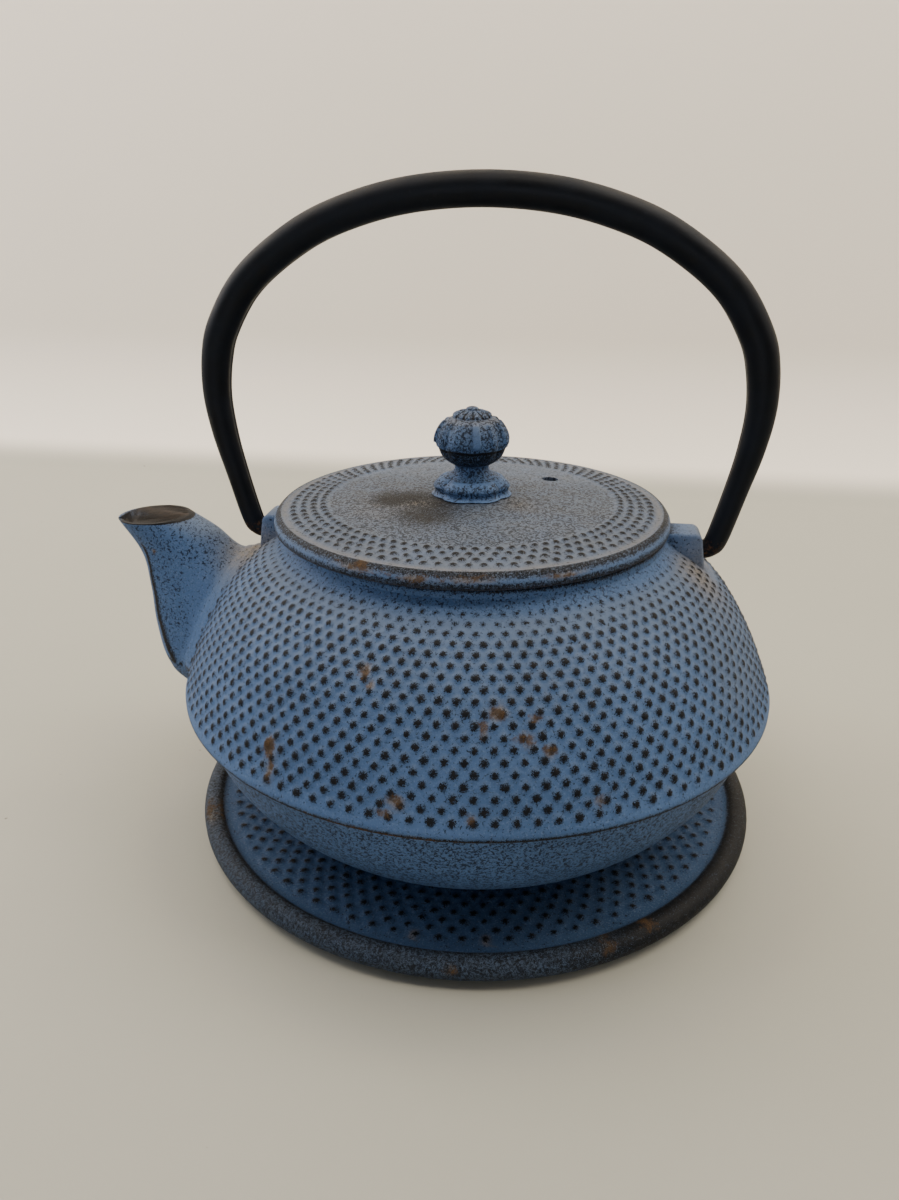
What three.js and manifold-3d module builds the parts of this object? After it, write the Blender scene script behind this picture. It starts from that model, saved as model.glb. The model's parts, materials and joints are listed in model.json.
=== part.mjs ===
// Cast-iron teapot with a swinging bail handle, a lift-out infuser and a matching trivet.
// Millimetres, +Z up. Everything is drawn around the pot's axis, with the spout towards -X and the
// handle standing in the XZ plane. The outer group then moves the axis along X, so that the origin
// is the centre of the footprint, on the surface that the trivet's feet stand on.

import * as THREE from 'three';
import { mergeVertices } from 'three/addons/utils/BufferGeometryUtils.js';
import Module from 'manifold-3d';

const wasm = await Module();
wasm.setup();

// ---- driving dimensions --------------------------------------------------------------------

const GAP = 0.3; // clearance between pieces that rest on each other
const ROUND = 48; // facets around the large castings
const FINE_ROUND = 18; // facets around the small turned pieces

const PAD_HEIGHT = 1.4; // foot pad below its peg
const PAD_RADIUS = 6;
const PEG_RADIUS = 3.5;
const PEG_TOP = 3.7;
const PAD_COUNT = 3;
const PAD_CIRCLE = 62; // radius of the circle that the pads stand on

const TRIVET_RADIUS = 81.7;
const TRIVET_UNDERSIDE = PAD_HEIGHT + GAP;
const TRIVET_DISH = 5.7; // height of the dish that the pot stands on
const TRIVET_RIM_TOP = 7.4;
const TRIVET_DISH_RADIUS = 75.4;

const POT_BASE = TRIVET_DISH + GAP;
const POT_BASE_RADIUS = 44;
const FLANGE_RADIUS = 82.5; // widest point of the belly
const FLANGE_HEIGHT = 43.8;
const COLLAR_RADIUS = 51.2;
const COLLAR_TOP = 88.05;
const THROAT_RADIUS = 43.5;
const LEDGE_RADIUS = 47.6; // recess in the mouth that the infuser's rim lies in
const LEDGE_HEIGHT = 86.6;
const POT_FLOOR = 10;
const PARTING_HEIGHT = 42.4; // top of the bowl, just under the flange

const SPOUT_WALL = 2.4;
const PIVOT_HEIGHT = 82; // handle hinge axis, along X through both lugs
const LUG_THICKNESS = 10;
const LUG_INNER = 49;
const LUG_TOP = 87.6;
const LUG_HOLE_RADIUS = 3.1;
const LUG_HOLE_END = 53.6; // the holes are blind and end here

const PIN_RADIUS = 2.5; // hooked end of the handle
const PIN_END = 54.4;
const HANDLE_TOP = 170.3; // centre line of the bail at its top
const HANDLE_TOP_RADIUS = 4.25;
const HANDLE_SIDES = 10;

const LID_RADIUS = 53.5;
const LID_SEAT = COLLAR_TOP + GAP;
const LID_EDGE_TOP = 92.2;
const LID_CROWN = 95;
const LID_UNDERSIDE = 91; // under the crown
const SKIRT_RADIUS = 39.2;
const SKIRT_WALL = 3;
const SKIRT_BOTTOM = 82.8;
const LID_SHIFT = -1.6; // the lid lies this far towards the spout, within its skirt's play
const VENT_RADIUS = 2.4;
const VENT_X = 20.5;
const VENT_Y = 19.3;

const SCREW_RADIUS = 2;
const SCREW_HOLE_RADIUS = SCREW_RADIUS + GAP;
const SCREW_TOP = 108.5;
const SCREW_HEAD_RADIUS = 4;
const SCREW_HEAD_HEIGHT = 2;
const WASHER_RADIUS = 6;
const WASHER_HEIGHT = 0.5;
const WASHER_TOP = LID_UNDERSIDE - 2 * GAP; // clear of the sloping underside

const SEAT_RADIUS = 10.4;
const SEAT_BOTTOM = LID_CROWN + GAP;
const SEAT_TOP = 99.6;
const KNOB_BOTTOM = SEAT_TOP + GAP;
const KNOB_RADIUS = 9.7;
const KNOB_CREASE = 108.4;
const NECK_FOOT_RADIUS = 8;
const KNOB_TOP = 118.5;

const SHEET = 0.5; // infuser sleeve and base
const INFUSER_RIM_RADIUS = LEDGE_RADIUS - GAP;
const INFUSER_RIM_TOP = 87.7;
const INFUSER_RIM_WALL = 0.8;
const INFUSER_COLLAR_BOTTOM = 80;
const SLEEVE_RADIUS = 41.3;
const SLEEVE_TOP = 82;
const INFUSER_BOTTOM = 33.5;
const BASE_RING_HEIGHT = 4.5;
const BASE_RING_WALL = 0.6;
const BASE_RING_INNER = 36;
const SEAM_WIDTH = 4;

// ---- materials -----------------------------------------------------------------------------

function material(color, roughness, metalness) {
  return new THREE.MeshStandardMaterial({ color, roughness, metalness });
}

const blueIron = material(0x5f7ea6, 0.8, 0.2);
const wornIron = material(0x55616c, 0.75, 0.4);
const blackEnamel = material(0x0d0f12, 0.4, 0.1);
const steel = material(0xb9bcbe, 0.3, 1);
const rubber = material(0x1a1a1a, 0.9, 0);

// ---- shape helpers -------------------------------------------------------------------------

// A turned piece: the outline is a list of [radius, height].
function turned(outline, segments = ROUND) {
  const points = outline.map(([r, z]) => new THREE.Vector2(r, z));
  const geometry = new THREE.LatheGeometry(points, segments);
  geometry.rotateX(Math.PI / 2);
  return geometry;
}

// Points on a smooth curve through the given [radius, height] points.
function smooth(points, steps) {
  const curve = new THREE.SplineCurve(points.map(([r, z]) => new THREE.Vector2(r, z)));
  return curve.getPoints(steps).map((p) => [p.x, p.y]);
}

// A closed skin over rings of points, with a flat cap at each end.
function skinned(rings) {
  const around = rings[0].length;
  const positions = rings.flat().flatMap((p) => [p.x, p.y, p.z]);
  const index = [];
  for (let i = 0; i + 1 < rings.length; i++) {
    for (let j = 0; j < around; j++) {
      const a = i * around + j;
      const b = i * around + ((j + 1) % around);
      index.push(a, b, a + around, b, b + around, a + around);
    }
  }
  const last = (rings.length - 1) * around;
  for (let j = 1; j + 1 < around; j++) {
    index.push(0, j + 1, j, last, last + j, last + j + 1);
  }
  const geometry = new THREE.BufferGeometry();
  geometry.setAttribute('position', new THREE.Float32BufferAttribute(positions, 3));
  geometry.setIndex(index);
  return geometry;
}

function cylinderAlongZ(radius, bottom, top, segments = FINE_ROUND) {
  const geometry = new THREE.CylinderGeometry(radius, radius, top - bottom, segments);
  geometry.rotateX(Math.PI / 2);
  geometry.translate(0, 0, (top + bottom) / 2);
  return geometry;
}

// ---- booleans ------------------------------------------------------------------------------

function toSolid(geometry) {
  const bare = geometry.clone();
  bare.deleteAttribute('normal');
  bare.deleteAttribute('uv');
  const merged = mergeVertices(bare, 1e-4);
  const source = merged.index.array;
  const kept = [];
  for (let i = 0; i < source.length; i += 3) {
    const [a, b, c] = [source[i], source[i + 1], source[i + 2]];
    if (a !== b && b !== c && c !== a) kept.push(a, b, c);
  }
  const mesh = new wasm.Mesh({
    numProp: 3,
    vertProperties: new Float32Array(merged.attributes.position.array),
    triVerts: new Uint32Array(kept),
  });
  const solid = new wasm.Manifold(mesh);
  if (solid.volume() > 0) return solid;
  throw new Error('a piece is inside out');
}

function toGeometry(solid) {
  const mesh = solid.getMesh();
  const geometry = new THREE.BufferGeometry();
  geometry.setAttribute('position', new THREE.BufferAttribute(mesh.vertProperties, 3));
  geometry.setIndex(new THREE.BufferAttribute(mesh.triVerts, 1));
  geometry.computeVertexNormals();
  return geometry;
}

// ---- trivet --------------------------------------------------------------------------------

function padPosition(k) {
  const angle = Math.PI / 2 + (k * 2 * Math.PI) / PAD_COUNT;
  return [PAD_CIRCLE * Math.cos(angle), PAD_CIRCLE * Math.sin(angle)];
}

function trivetGeometry() {
  const rimOutside = smooth([
    [78.4, TRIVET_UNDERSIDE],
    [80.8, 2.1],
    [TRIVET_RADIUS, 4],
    [80.9, 6.4],
    [78.6, TRIVET_RIM_TOP],
    [76.8, 6.9],
    [TRIVET_DISH_RADIUS, TRIVET_DISH],
  ], 10);
  let solid = toSolid(turned([[0, TRIVET_UNDERSIDE], ...rimOutside, [0, TRIVET_DISH]]));
  for (let k = 0; k < PAD_COUNT; k++) {
    const hole = cylinderAlongZ(PEG_RADIUS + GAP, 0, PEG_TOP + GAP, FINE_ROUND);
    hole.translate(...padPosition(k), 0);
    solid = solid.subtract(toSolid(hole));
  }
  return toGeometry(solid);
}

function padGeometry() {
  return turned([
    [0, 0],
    [PAD_RADIUS - 0.6, 0],
    [PAD_RADIUS, 0.6],
    [PAD_RADIUS, PAD_HEIGHT],
    [PEG_RADIUS, PAD_HEIGHT],
    [PEG_RADIUS, PEG_TOP],
    [0, PEG_TOP],
  ], FINE_ROUND);
}

// ---- pot -----------------------------------------------------------------------------------

// The outside of the pot without its spout and lugs, or the same grown outwards.
function potOutside(grow = 0) {
  const bowl = smooth([
    [POT_BASE_RADIUS, POT_BASE],
    [54, 7.9],
    [65.3, 15.6],
    [74.6, 27.5],
    [80.3, PARTING_HEIGHT],
  ], 9);
  const shoulder = smooth([
    [FLANGE_RADIUS, FLANGE_HEIGHT + 0.8],
    [80.6, 48.2],
    [76.6, 57.5],
    [69.6, 69.2],
    [61, 78.2],
    [53.6, 83.3],
    [COLLAR_RADIUS, 85.6],
  ], 14);
  const side = [
    ...bowl,
    [82, PARTING_HEIGHT + GAP],
    [FLANGE_RADIUS, FLANGE_HEIGHT - 0.4],
    ...shoulder,
    [COLLAR_RADIUS, COLLAR_TOP],
  ];
  return turned([
    [0, POT_BASE],
    ...side.map(([r, z]) => [r + grow, z]),
    [0, COLLAR_TOP],
  ]);
}

function potInside() {
  const wall = smooth([
    [40, POT_FLOOR],
    [56, 14.2],
    [68.4, 25],
    [76.2, 41],
    [75.2, 52],
    [68, 65],
    [58, 75.4],
    [THROAT_RADIUS, 82.6],
  ], 12);
  return turned([
    [0, POT_FLOOR],
    ...wall,
    [THROAT_RADIUS, LEDGE_HEIGHT],
    [LEDGE_RADIUS, LEDGE_HEIGHT],
    [LEDGE_RADIUS, COLLAR_TOP + 1],
    [0, COLLAR_TOP + 1],
  ]);
}

// The spout's sections, from inside the pot to the mouth. Each one lies across the spout: low and
// high are [x, z] of its underside and its back, and half is half its width along Y.
const spoutSections = [
  { low: [-70, 34], high: [-48, 54], half: 14 },
  { low: [-86.6, 31.6], high: [-50, 64], half: 16 },
  { low: [-94, 40], high: [-57, 70.5], half: 14.6 },
  { low: [-96.4, 52], high: [-65, 73.4], half: 12.6 },
  { low: [-96.8, 63.6], high: [-71, 76.2], half: 10.8 },
  { low: [-98.4, 73.4], high: [-76.2, 80.8], half: 9.5 },
  { low: [-104.7, 84.2], high: [-83.8, 84.9], half: 9.2 },
];
const MOUTH_REACH = 1.25; // the bore runs on past the mouth by this many of its last steps
const SPOUT_SIDES = 20;
const SPOUT_STEPS = 14;

function spoutGeometry(inset, mouthExtra) {
  const rings = [];
  const edge = (side) => new THREE.CatmullRomCurve3(
    spoutSections.map((s) => new THREE.Vector3(s[side][0], 0, s[side][1])),
  );
  const low = edge('low');
  const high = edge('high');
  const half = new THREE.SplineCurve(spoutSections.map((s, i) => new THREE.Vector2(i, s.half)));
  for (let i = 0; i <= SPOUT_STEPS; i++) {
    const t = i / SPOUT_STEPS;
    const a = low.getPoint(t);
    const b = high.getPoint(t);
    const centre = a.clone().add(b).multiplyScalar(0.5);
    const across = a.clone().sub(b).multiplyScalar(0.5);
    across.setLength(across.length() - inset);
    const side = new THREE.Vector3(0, half.getPoint(t).y - inset, 0);
    rings.push(ringOf(centre, across, side, SPOUT_SIDES));
  }
  if (mouthExtra > 0) {
    const end = rings[rings.length - 1];
    const before = rings[rings.length - 2];
    rings.push(end.map((p, j) => p.clone().add(p.clone().sub(before[j]).multiplyScalar(mouthExtra))));
  }
  return skinned(rings);
}

function ringOf(centre, across, side, count) {
  const ring = [];
  for (let j = 0; j < count; j++) {
    const angle = (2 * Math.PI * j) / count;
    const p = centre.clone().addScaledVector(across, Math.cos(angle));
    ring.push(p.addScaledVector(side, -Math.sin(angle)));
  }
  return ring;
}

function lugGeometry() {
  const outline = new THREE.Shape();
  outline.moveTo(LUG_INNER, 74);
  outline.lineTo(62, 74);
  outline.lineTo(61.4, 79);
  outline.lineTo(60.3, 85.8);
  outline.quadraticCurveTo(60, LUG_TOP, 58.2, LUG_TOP);
  outline.lineTo(LUG_INNER, LUG_TOP);
  const geometry = new THREE.ExtrudeGeometry(outline, {
    depth: LUG_THICKNESS,
    bevelEnabled: false,
    curveSegments: 5,
  });
  geometry.rotateX(Math.PI / 2);
  geometry.translate(0, LUG_THICKNESS / 2, 0);
  return geometry;
}

function lugHoleGeometry() {
  const length = 12;
  const geometry = new THREE.CylinderGeometry(LUG_HOLE_RADIUS, LUG_HOLE_RADIUS, length, 20);
  geometry.rotateZ(Math.PI / 2);
  geometry.translate(LUG_HOLE_END + length / 2, 0, PIVOT_HEIGHT);
  return geometry;
}

function mirroredInX(geometry) {
  return geometry.clone().rotateZ(Math.PI);
}

// Everything between two heights, to part the casting with.
function slab(bottom, top) {
  const geometry = new THREE.BoxGeometry(4 * FLANGE_RADIUS, 4 * FLANGE_RADIUS, top - bottom);
  geometry.translate(0, 0, (top + bottom) / 2);
  return toSolid(geometry);
}

// The pot is one casting. It is drawn as three pieces of one rigid body, the bowl, the shoulder and
// the spout, which meet at the line under the flange and where the spout grows out of the wall.
function potPieces() {
  const bore = toSolid(spoutGeometry(SPOUT_WALL, MOUTH_REACH));
  const spout = toSolid(spoutGeometry(0, 0)).subtract(toSolid(potOutside(GAP))).subtract(bore);
  const wall = toSolid(potOutside()).subtract(toSolid(potInside())).subtract(bore);
  const bowl = wall.intersect(slab(0, PARTING_HEIGHT));
  let shoulder = wall.intersect(slab(PARTING_HEIGHT + GAP, 2 * COLLAR_TOP));
  for (const lug of [lugGeometry(), mirroredInX(lugGeometry())]) {
    shoulder = shoulder.add(toSolid(lug).subtract(toSolid(potInside())));
  }
  for (const hole of [lugHoleGeometry(), mirroredInX(lugHoleGeometry())]) {
    shoulder = shoulder.subtract(toSolid(hole));
  }
  return {
    pot_bowl: toGeometry(bowl),
    pot_shoulder: toGeometry(shoulder),
    pot_spout: toGeometry(spout),
  };
}

// ---- handle --------------------------------------------------------------------------------

// Half of the bail's centre line, as [x, z, radius], from the pin's end to the top.
const handleHalf = [
  [PIN_END, PIVOT_HEIGHT, PIN_RADIUS],
  [60.4, PIVOT_HEIGHT, PIN_RADIUS],
  [63, 82.9, 2.7],
  [64.6, 85.8, 2.95],
  [67.8, 98.6, 3.1],
  [70.2, 109.5, 3.5],
  [71.3, 120, 3.85],
  [70.3, 130, 4.15],
  [67.6, 138, 4.25],
  [60.6, 148.4, 4.25],
  [50, 157, 4.25],
  [37.6, 163.6, HANDLE_TOP_RADIUS],
  [20, 168.6, HANDLE_TOP_RADIUS],
  [0, HANDLE_TOP, HANDLE_TOP_RADIUS],
];

function handleGeometry() {
  const left = handleHalf.slice(0, -1).map(([x, z, r]) => [-x, z, r]);
  const all = [...handleHalf, ...left.reverse()];
  const path = new THREE.CatmullRomCurve3(all.map(([x, z]) => new THREE.Vector3(x, 0, z)));
  const radius = new THREE.SplineCurve(all.map(([, , r], i) => new THREE.Vector2(i, r)));
  const steps = 2 * (all.length - 1);
  const rings = [];
  for (let i = 0; i <= steps; i++) {
    const t = i / steps;
    const along = path.getTangent(t);
    const across = new THREE.Vector3(along.z, 0, -along.x);
    const r = radius.getPoint(t).y;
    const side = new THREE.Vector3(0, -r, 0);
    rings.push(ringOf(path.getPoint(t), across.setLength(r), side, HANDLE_SIDES));
  }
  return skinned(rings);
}

// ---- lid and knob --------------------------------------------------------------------------

function lidGeometry() {
  const crown = smooth([
    [0, LID_CROWN],
    [16, 94.9],
    [34, 93.9],
    [48, LID_EDGE_TOP],
    [51.8, LID_EDGE_TOP],
    [53.1, 91.6],
    [LID_RADIUS, 90.4],
  ], 11).reverse();
  let solid = toSolid(turned([
    [0, LID_UNDERSIDE],
    [SKIRT_RADIUS - SKIRT_WALL, LID_UNDERSIDE - 1],
    [SKIRT_RADIUS - SKIRT_WALL, SKIRT_BOTTOM],
    [SKIRT_RADIUS, SKIRT_BOTTOM],
    [SKIRT_RADIUS, 89],
    [45, LID_SEAT],
    [LID_RADIUS - 0.4, LID_SEAT],
    [LID_RADIUS, LID_SEAT + 0.6],
    ...crown,
  ]));
  const vent = cylinderAlongZ(VENT_RADIUS, SKIRT_BOTTOM, LID_CROWN + 1, 16);
  vent.translate(VENT_X, VENT_Y, 0);
  solid = solid.subtract(toSolid(vent));
  const screwHole = cylinderAlongZ(SCREW_HOLE_RADIUS, SKIRT_BOTTOM, LID_CROWN + 1, 16);
  return toGeometry(solid.subtract(toSolid(screwHole)));
}

function knobSeatGeometry() {
  return turned([
    [SCREW_HOLE_RADIUS, SEAT_BOTTOM],
    [SEAT_RADIUS - 0.4, SEAT_BOTTOM],
    [SEAT_RADIUS, SEAT_BOTTOM + 0.7],
    [SEAT_RADIUS, SEAT_BOTTOM + 2.3],
    [SEAT_RADIUS - 0.3, SEAT_BOTTOM + 3.2],
    [SEAT_RADIUS - 1.2, SEAT_BOTTOM + 3.9],
    [NECK_FOOT_RADIUS, SEAT_TOP],
    [SCREW_HOLE_RADIUS, SEAT_TOP],
    [SCREW_HOLE_RADIUS, SEAT_BOTTOM],
  ], FINE_ROUND);
}

function knobGeometry() {
  const neckAndBowl = smooth([
    [NECK_FOOT_RADIUS - 0.4, KNOB_BOTTOM],
    [5.1, 101.2],
    [4.6, 102.2],
    [4.8, 103.2],
    [6.5, 104.2],
    [8.2, 105.8],
    [KNOB_RADIUS - 0.25, KNOB_CREASE],
  ], 14);
  const ball = smooth([
    [KNOB_RADIUS, KNOB_CREASE + 0.7],
    [9.4, 111.3],
    [8.4, 113.3],
    [6.8, 115],
    [5.6, 115.65],
  ], 8);
  return turned([
    [SCREW_HOLE_RADIUS, KNOB_BOTTOM],
    ...neckAndBowl,
    ...ball,
    [5.3, 116.3],
    [4.2, 117.1],
    [1.8, 117.6],
    [1.5, KNOB_TOP - 0.2],
    [0, KNOB_TOP],
    [0, SCREW_TOP + GAP],
    [SCREW_HOLE_RADIUS, SCREW_TOP + GAP],
    [SCREW_HOLE_RADIUS, KNOB_BOTTOM],
  ], FINE_ROUND);
}

function knobWasherGeometry() {
  const bottom = WASHER_TOP - WASHER_HEIGHT;
  return turned([
    [SCREW_HOLE_RADIUS, bottom],
    [WASHER_RADIUS, bottom],
    [WASHER_RADIUS, WASHER_TOP],
    [SCREW_HOLE_RADIUS, WASHER_TOP],
    [SCREW_HOLE_RADIUS, bottom],
  ], FINE_ROUND);
}

function knobScrewGeometry() {
  const headTop = WASHER_TOP - WASHER_HEIGHT - GAP;
  const headBottom = headTop - SCREW_HEAD_HEIGHT;
  return turned([
    [0, headBottom],
    [SCREW_HEAD_RADIUS - 1, headBottom],
    [SCREW_HEAD_RADIUS, headBottom + 1],
    [SCREW_HEAD_RADIUS, headTop],
    [SCREW_RADIUS, headTop],
    [SCREW_RADIUS, SCREW_TOP - 0.8],
    [SCREW_RADIUS - 0.8, SCREW_TOP],
    [0, SCREW_TOP],
  ], 16);
}

// ---- infuser -------------------------------------------------------------------------------

function infuserRimGeometry() {
  const collar = SLEEVE_RADIUS + GAP;
  return turned([
    [collar, INFUSER_COLLAR_BOTTOM],
    [collar + INFUSER_RIM_WALL, INFUSER_COLLAR_BOTTOM],
    [collar + INFUSER_RIM_WALL, INFUSER_RIM_TOP - INFUSER_RIM_WALL],
    [INFUSER_RIM_RADIUS, INFUSER_RIM_TOP - INFUSER_RIM_WALL],
    [INFUSER_RIM_RADIUS, INFUSER_RIM_TOP],
    [collar, INFUSER_RIM_TOP],
    [collar, INFUSER_COLLAR_BOTTOM],
  ]);
}

function infuserSleeveGeometry() {
  const bottom = INFUSER_BOTTOM + BASE_RING_WALL + SHEET + 2 * GAP;
  return turned([
    [SLEEVE_RADIUS - SHEET, bottom],
    [SLEEVE_RADIUS, bottom],
    [SLEEVE_RADIUS, SLEEVE_TOP],
    [SLEEVE_RADIUS - SHEET, SLEEVE_TOP],
    [SLEEVE_RADIUS - SHEET, bottom],
  ]);
}

function infuserBaseRingGeometry() {
  const inner = SLEEVE_RADIUS + GAP;
  return turned([
    [BASE_RING_INNER, INFUSER_BOTTOM],
    [inner + BASE_RING_WALL, INFUSER_BOTTOM],
    [inner + BASE_RING_WALL, INFUSER_BOTTOM + BASE_RING_HEIGHT],
    [inner, INFUSER_BOTTOM + BASE_RING_HEIGHT],
    [inner, INFUSER_BOTTOM + BASE_RING_WALL],
    [BASE_RING_INNER, INFUSER_BOTTOM + BASE_RING_WALL],
    [BASE_RING_INNER, INFUSER_BOTTOM],
  ]);
}

function infuserBaseMeshGeometry() {
  const bottom = INFUSER_BOTTOM + BASE_RING_WALL + GAP;
  return cylinderAlongZ(SLEEVE_RADIUS - 0.1, bottom, bottom + SHEET, ROUND);
}

// A welded strip over the sleeve's joint, on the side away from the spout.
function infuserSeamGeometry() {
  const bottom = INFUSER_BOTTOM + BASE_RING_HEIGHT + GAP;
  const top = INFUSER_COLLAR_BOTTOM - GAP;
  const geometry = new THREE.BoxGeometry(SHEET, SEAM_WIDTH, top - bottom);
  geometry.translate(SLEEVE_RADIUS + GAP + SHEET / 2, 0, (top + bottom) / 2);
  return geometry;
}

// ---- assembly ------------------------------------------------------------------------------

const teapot = new THREE.Group();

function place(name, geometry, surface) {
  const mesh = new THREE.Mesh(geometry, surface);
  mesh.name = name;
  teapot.add(mesh);
  return mesh;
}

place('trivet_casting', trivetGeometry(), wornIron);
for (let k = 0; k < PAD_COUNT; k++) {
  const pad = place(`trivet_foot_pad_${k + 1}`, padGeometry(), rubber);
  pad.position.set(...padPosition(k), 0);
}
for (const [name, geometry] of Object.entries(potPieces())) place(name, geometry, blueIron);
place('handle_bail', handleGeometry(), blackEnamel);
place('infuser_rim', infuserRimGeometry(), steel);
place('infuser_sleeve', infuserSleeveGeometry(), steel);
place('infuser_seam_strip', infuserSeamGeometry(), steel);
place('infuser_base_ring', infuserBaseRingGeometry(), steel);
place('infuser_base_mesh', infuserBaseMeshGeometry(), steel);
for (const piece of [
  place('lid_casting', lidGeometry(), blueIron),
  place('lid_knob_seat', knobSeatGeometry(), blueIron),
  place('lid_knob', knobGeometry(), blueIron),
  place('lid_knob_washer', knobWasherGeometry(), steel),
  place('lid_knob_screw', knobScrewGeometry(), steel),
]) {
  piece.position.x = LID_SHIFT;
}

const footprint = new THREE.Box3().setFromObject(teapot).getCenter(new THREE.Vector3());
teapot.position.x = -footprint.x;

const model = new THREE.Group();
model.add(teapot);

export default model;
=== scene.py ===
"""Looks of the cast-iron teapot: hobnailed pot, lid and trivet, bail handle and perforated infuser.

Shapes are drawn in millimetres around the pot's own axis, +Z up, spout towards -X, and placed in the
frame by the axis that the CAD nodes give. Each piece carries a few per-vertex masks (nail tips, wear,
rust, dust and so on), and the materials turn those masks into colour and relief. Two masks also paint
light into the colour: wear darkens the knob's crease and bowl as painted shade, and settle greys
up-facing and lit paint as painted light besides dust.
"""

import json
import math

import bmesh
import bpy
import numpy as np
from mathutils import Matrix, Vector
from mathutils.bvhtree import BVHTree
from mathutils.kdtree import KDTree


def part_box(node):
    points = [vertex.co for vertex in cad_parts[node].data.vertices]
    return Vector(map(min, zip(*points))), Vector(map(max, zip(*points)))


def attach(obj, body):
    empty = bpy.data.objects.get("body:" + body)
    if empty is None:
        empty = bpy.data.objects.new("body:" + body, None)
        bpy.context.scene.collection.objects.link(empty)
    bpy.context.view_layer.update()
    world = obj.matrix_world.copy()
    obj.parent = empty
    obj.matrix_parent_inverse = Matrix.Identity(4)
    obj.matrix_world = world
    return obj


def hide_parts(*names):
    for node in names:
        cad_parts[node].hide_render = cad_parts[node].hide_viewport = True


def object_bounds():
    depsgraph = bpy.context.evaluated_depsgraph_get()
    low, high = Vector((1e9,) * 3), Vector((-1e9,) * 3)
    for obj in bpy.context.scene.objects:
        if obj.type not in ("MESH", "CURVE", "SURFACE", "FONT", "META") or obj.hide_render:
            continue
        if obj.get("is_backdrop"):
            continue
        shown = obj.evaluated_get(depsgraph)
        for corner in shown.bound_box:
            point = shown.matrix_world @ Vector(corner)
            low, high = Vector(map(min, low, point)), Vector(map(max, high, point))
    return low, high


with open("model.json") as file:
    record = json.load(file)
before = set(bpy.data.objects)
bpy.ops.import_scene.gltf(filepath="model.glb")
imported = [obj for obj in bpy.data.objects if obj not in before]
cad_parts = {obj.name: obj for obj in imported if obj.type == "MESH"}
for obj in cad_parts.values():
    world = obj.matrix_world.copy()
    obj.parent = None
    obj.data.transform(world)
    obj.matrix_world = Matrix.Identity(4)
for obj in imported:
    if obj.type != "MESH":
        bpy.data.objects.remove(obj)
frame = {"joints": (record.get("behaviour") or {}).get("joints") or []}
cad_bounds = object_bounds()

MM = 0.001
TABLE_EDGE = 0.322  # where the tabletop starts to curve up into the wall, in metres
COVE = 0.085  # radius of that curve
WALL_SLANT = 0.03  # how much nearer the wall is for each metre to the right
ROOM = 1.6  # from the middle to the other walls
ROOM_HEIGHT = 1.8


# ---- places taken from the frame -------------------------------------------------------------


def cad_box(node):
    """The low and high corners of a CAD node, in millimetres."""
    low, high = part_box(node)
    return np.array(low) / MM, np.array(high) / MM


def middle_x(node):
    low, high = cad_box(node)
    return (low[0] + high[0]) / 2


POT_AXIS = middle_x("handle_bail")
LID_OFFSET = middle_x("lid_casting") - POT_AXIS  # the lid sits a little towards the spout
TRIVET_UNDERSIDE = cad_box("trivet_casting")[0][2]
TRIVET_TOP = cad_box("trivet_casting")[1][2]
POT_BASE = cad_box("pot_bowl")[0][2]
PARTING = cad_box("pot_bowl")[1][2]
FLANGE_BOTTOM = cad_box("pot_shoulder")[0][2]
COLLAR_TOP = cad_box("pot_shoulder")[1][2]
LID_SEAT = COLLAR_TOP + 0.3
LID_RADIUS = (cad_box("lid_casting")[1][0] - cad_box("lid_casting")[0][0]) / 2
SKIRT_BOTTOM = cad_box("lid_casting")[0][2]
LID_TOP = cad_box("lid_casting")[1][2]
SEAT_BOTTOM = cad_box("lid_knob_seat")[0][2]
SEAT_TOP = cad_box("lid_knob_seat")[1][2]
KNOB_BOTTOM = cad_box("lid_knob")[0][2]
KNOB_TOP = cad_box("lid_knob")[1][2]
SLEEVE_BOTTOM = cad_box("infuser_sleeve")[0][2]
SLEEVE_TOP = cad_box("infuser_sleeve")[1][2]
SLEEVE_RADIUS = (cad_box("infuser_sleeve")[1][1] - cad_box("infuser_sleeve")[0][1]) / 2
PIVOT_HEIGHT = next(j for j in frame["joints"] if j["name"] == "handle_swing")["pos_m"][2] / MM


# ---- curves and turned skins -----------------------------------------------------------------


def curve_through(points, per_span=24):
    """A dense Catmull-Rom curve through points of any dimension."""
    p = np.array(points, float)
    p = np.vstack([2 * p[0] - p[1], p, 2 * p[-1] - p[-2]])
    t = np.linspace(0, 1, per_span, endpoint=False)[:, None]
    spans = []
    for a, b, c, d in zip(p, p[1:], p[2:], p[3:]):
        square = 2 * a - 5 * b + 4 * c - d
        cube = 3 * b - a - 3 * c + d
        spans.append(0.5 * (2 * b + (c - a) * t + square * t**2 + cube * t**3))
    return np.vstack(spans + [p[-2:-1]])


def circle(count):
    """Evenly spaced angles."""
    return 2 * math.pi * np.arange(count) / count


def angles_of(points):
    """Angles round the axis, in radians."""
    return np.arctan2(points[:, 1], points[:, 0])


def from_axis(points):
    return np.hypot(points[:, 0], points[:, 1])


def in_plane(x, z):
    """Points or directions in the upright plane that holds the spout and the handle."""
    return np.column_stack([x, np.zeros(len(x)), z])


def arc_lengths(line):
    steps = np.linalg.norm(np.diff(line[:, :2], axis=0), axis=1)
    return np.concatenate([[0], np.cumsum(steps)])


def at_lengths(line, lengths):
    """Points of a dense line at the given arc lengths."""
    arcs = arc_lengths(line)
    return np.column_stack([np.interp(lengths, arcs, line[:, k]) for k in range(line.shape[1])])


def even_points(line, spacing):
    total = arc_lengths(line)[-1]
    return at_lengths(line, np.linspace(0, total, max(2, round(total / spacing) + 1)))


def side_normals(outline):
    """Unit normals of a [radius, height] outline, pointing out where the outline climbs."""
    along = np.gradient(outline, axis=0)
    along /= np.maximum(np.linalg.norm(along, axis=1), 1e-9)[:, None]
    return np.column_stack([along[:, 1], -along[:, 0]])


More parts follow.
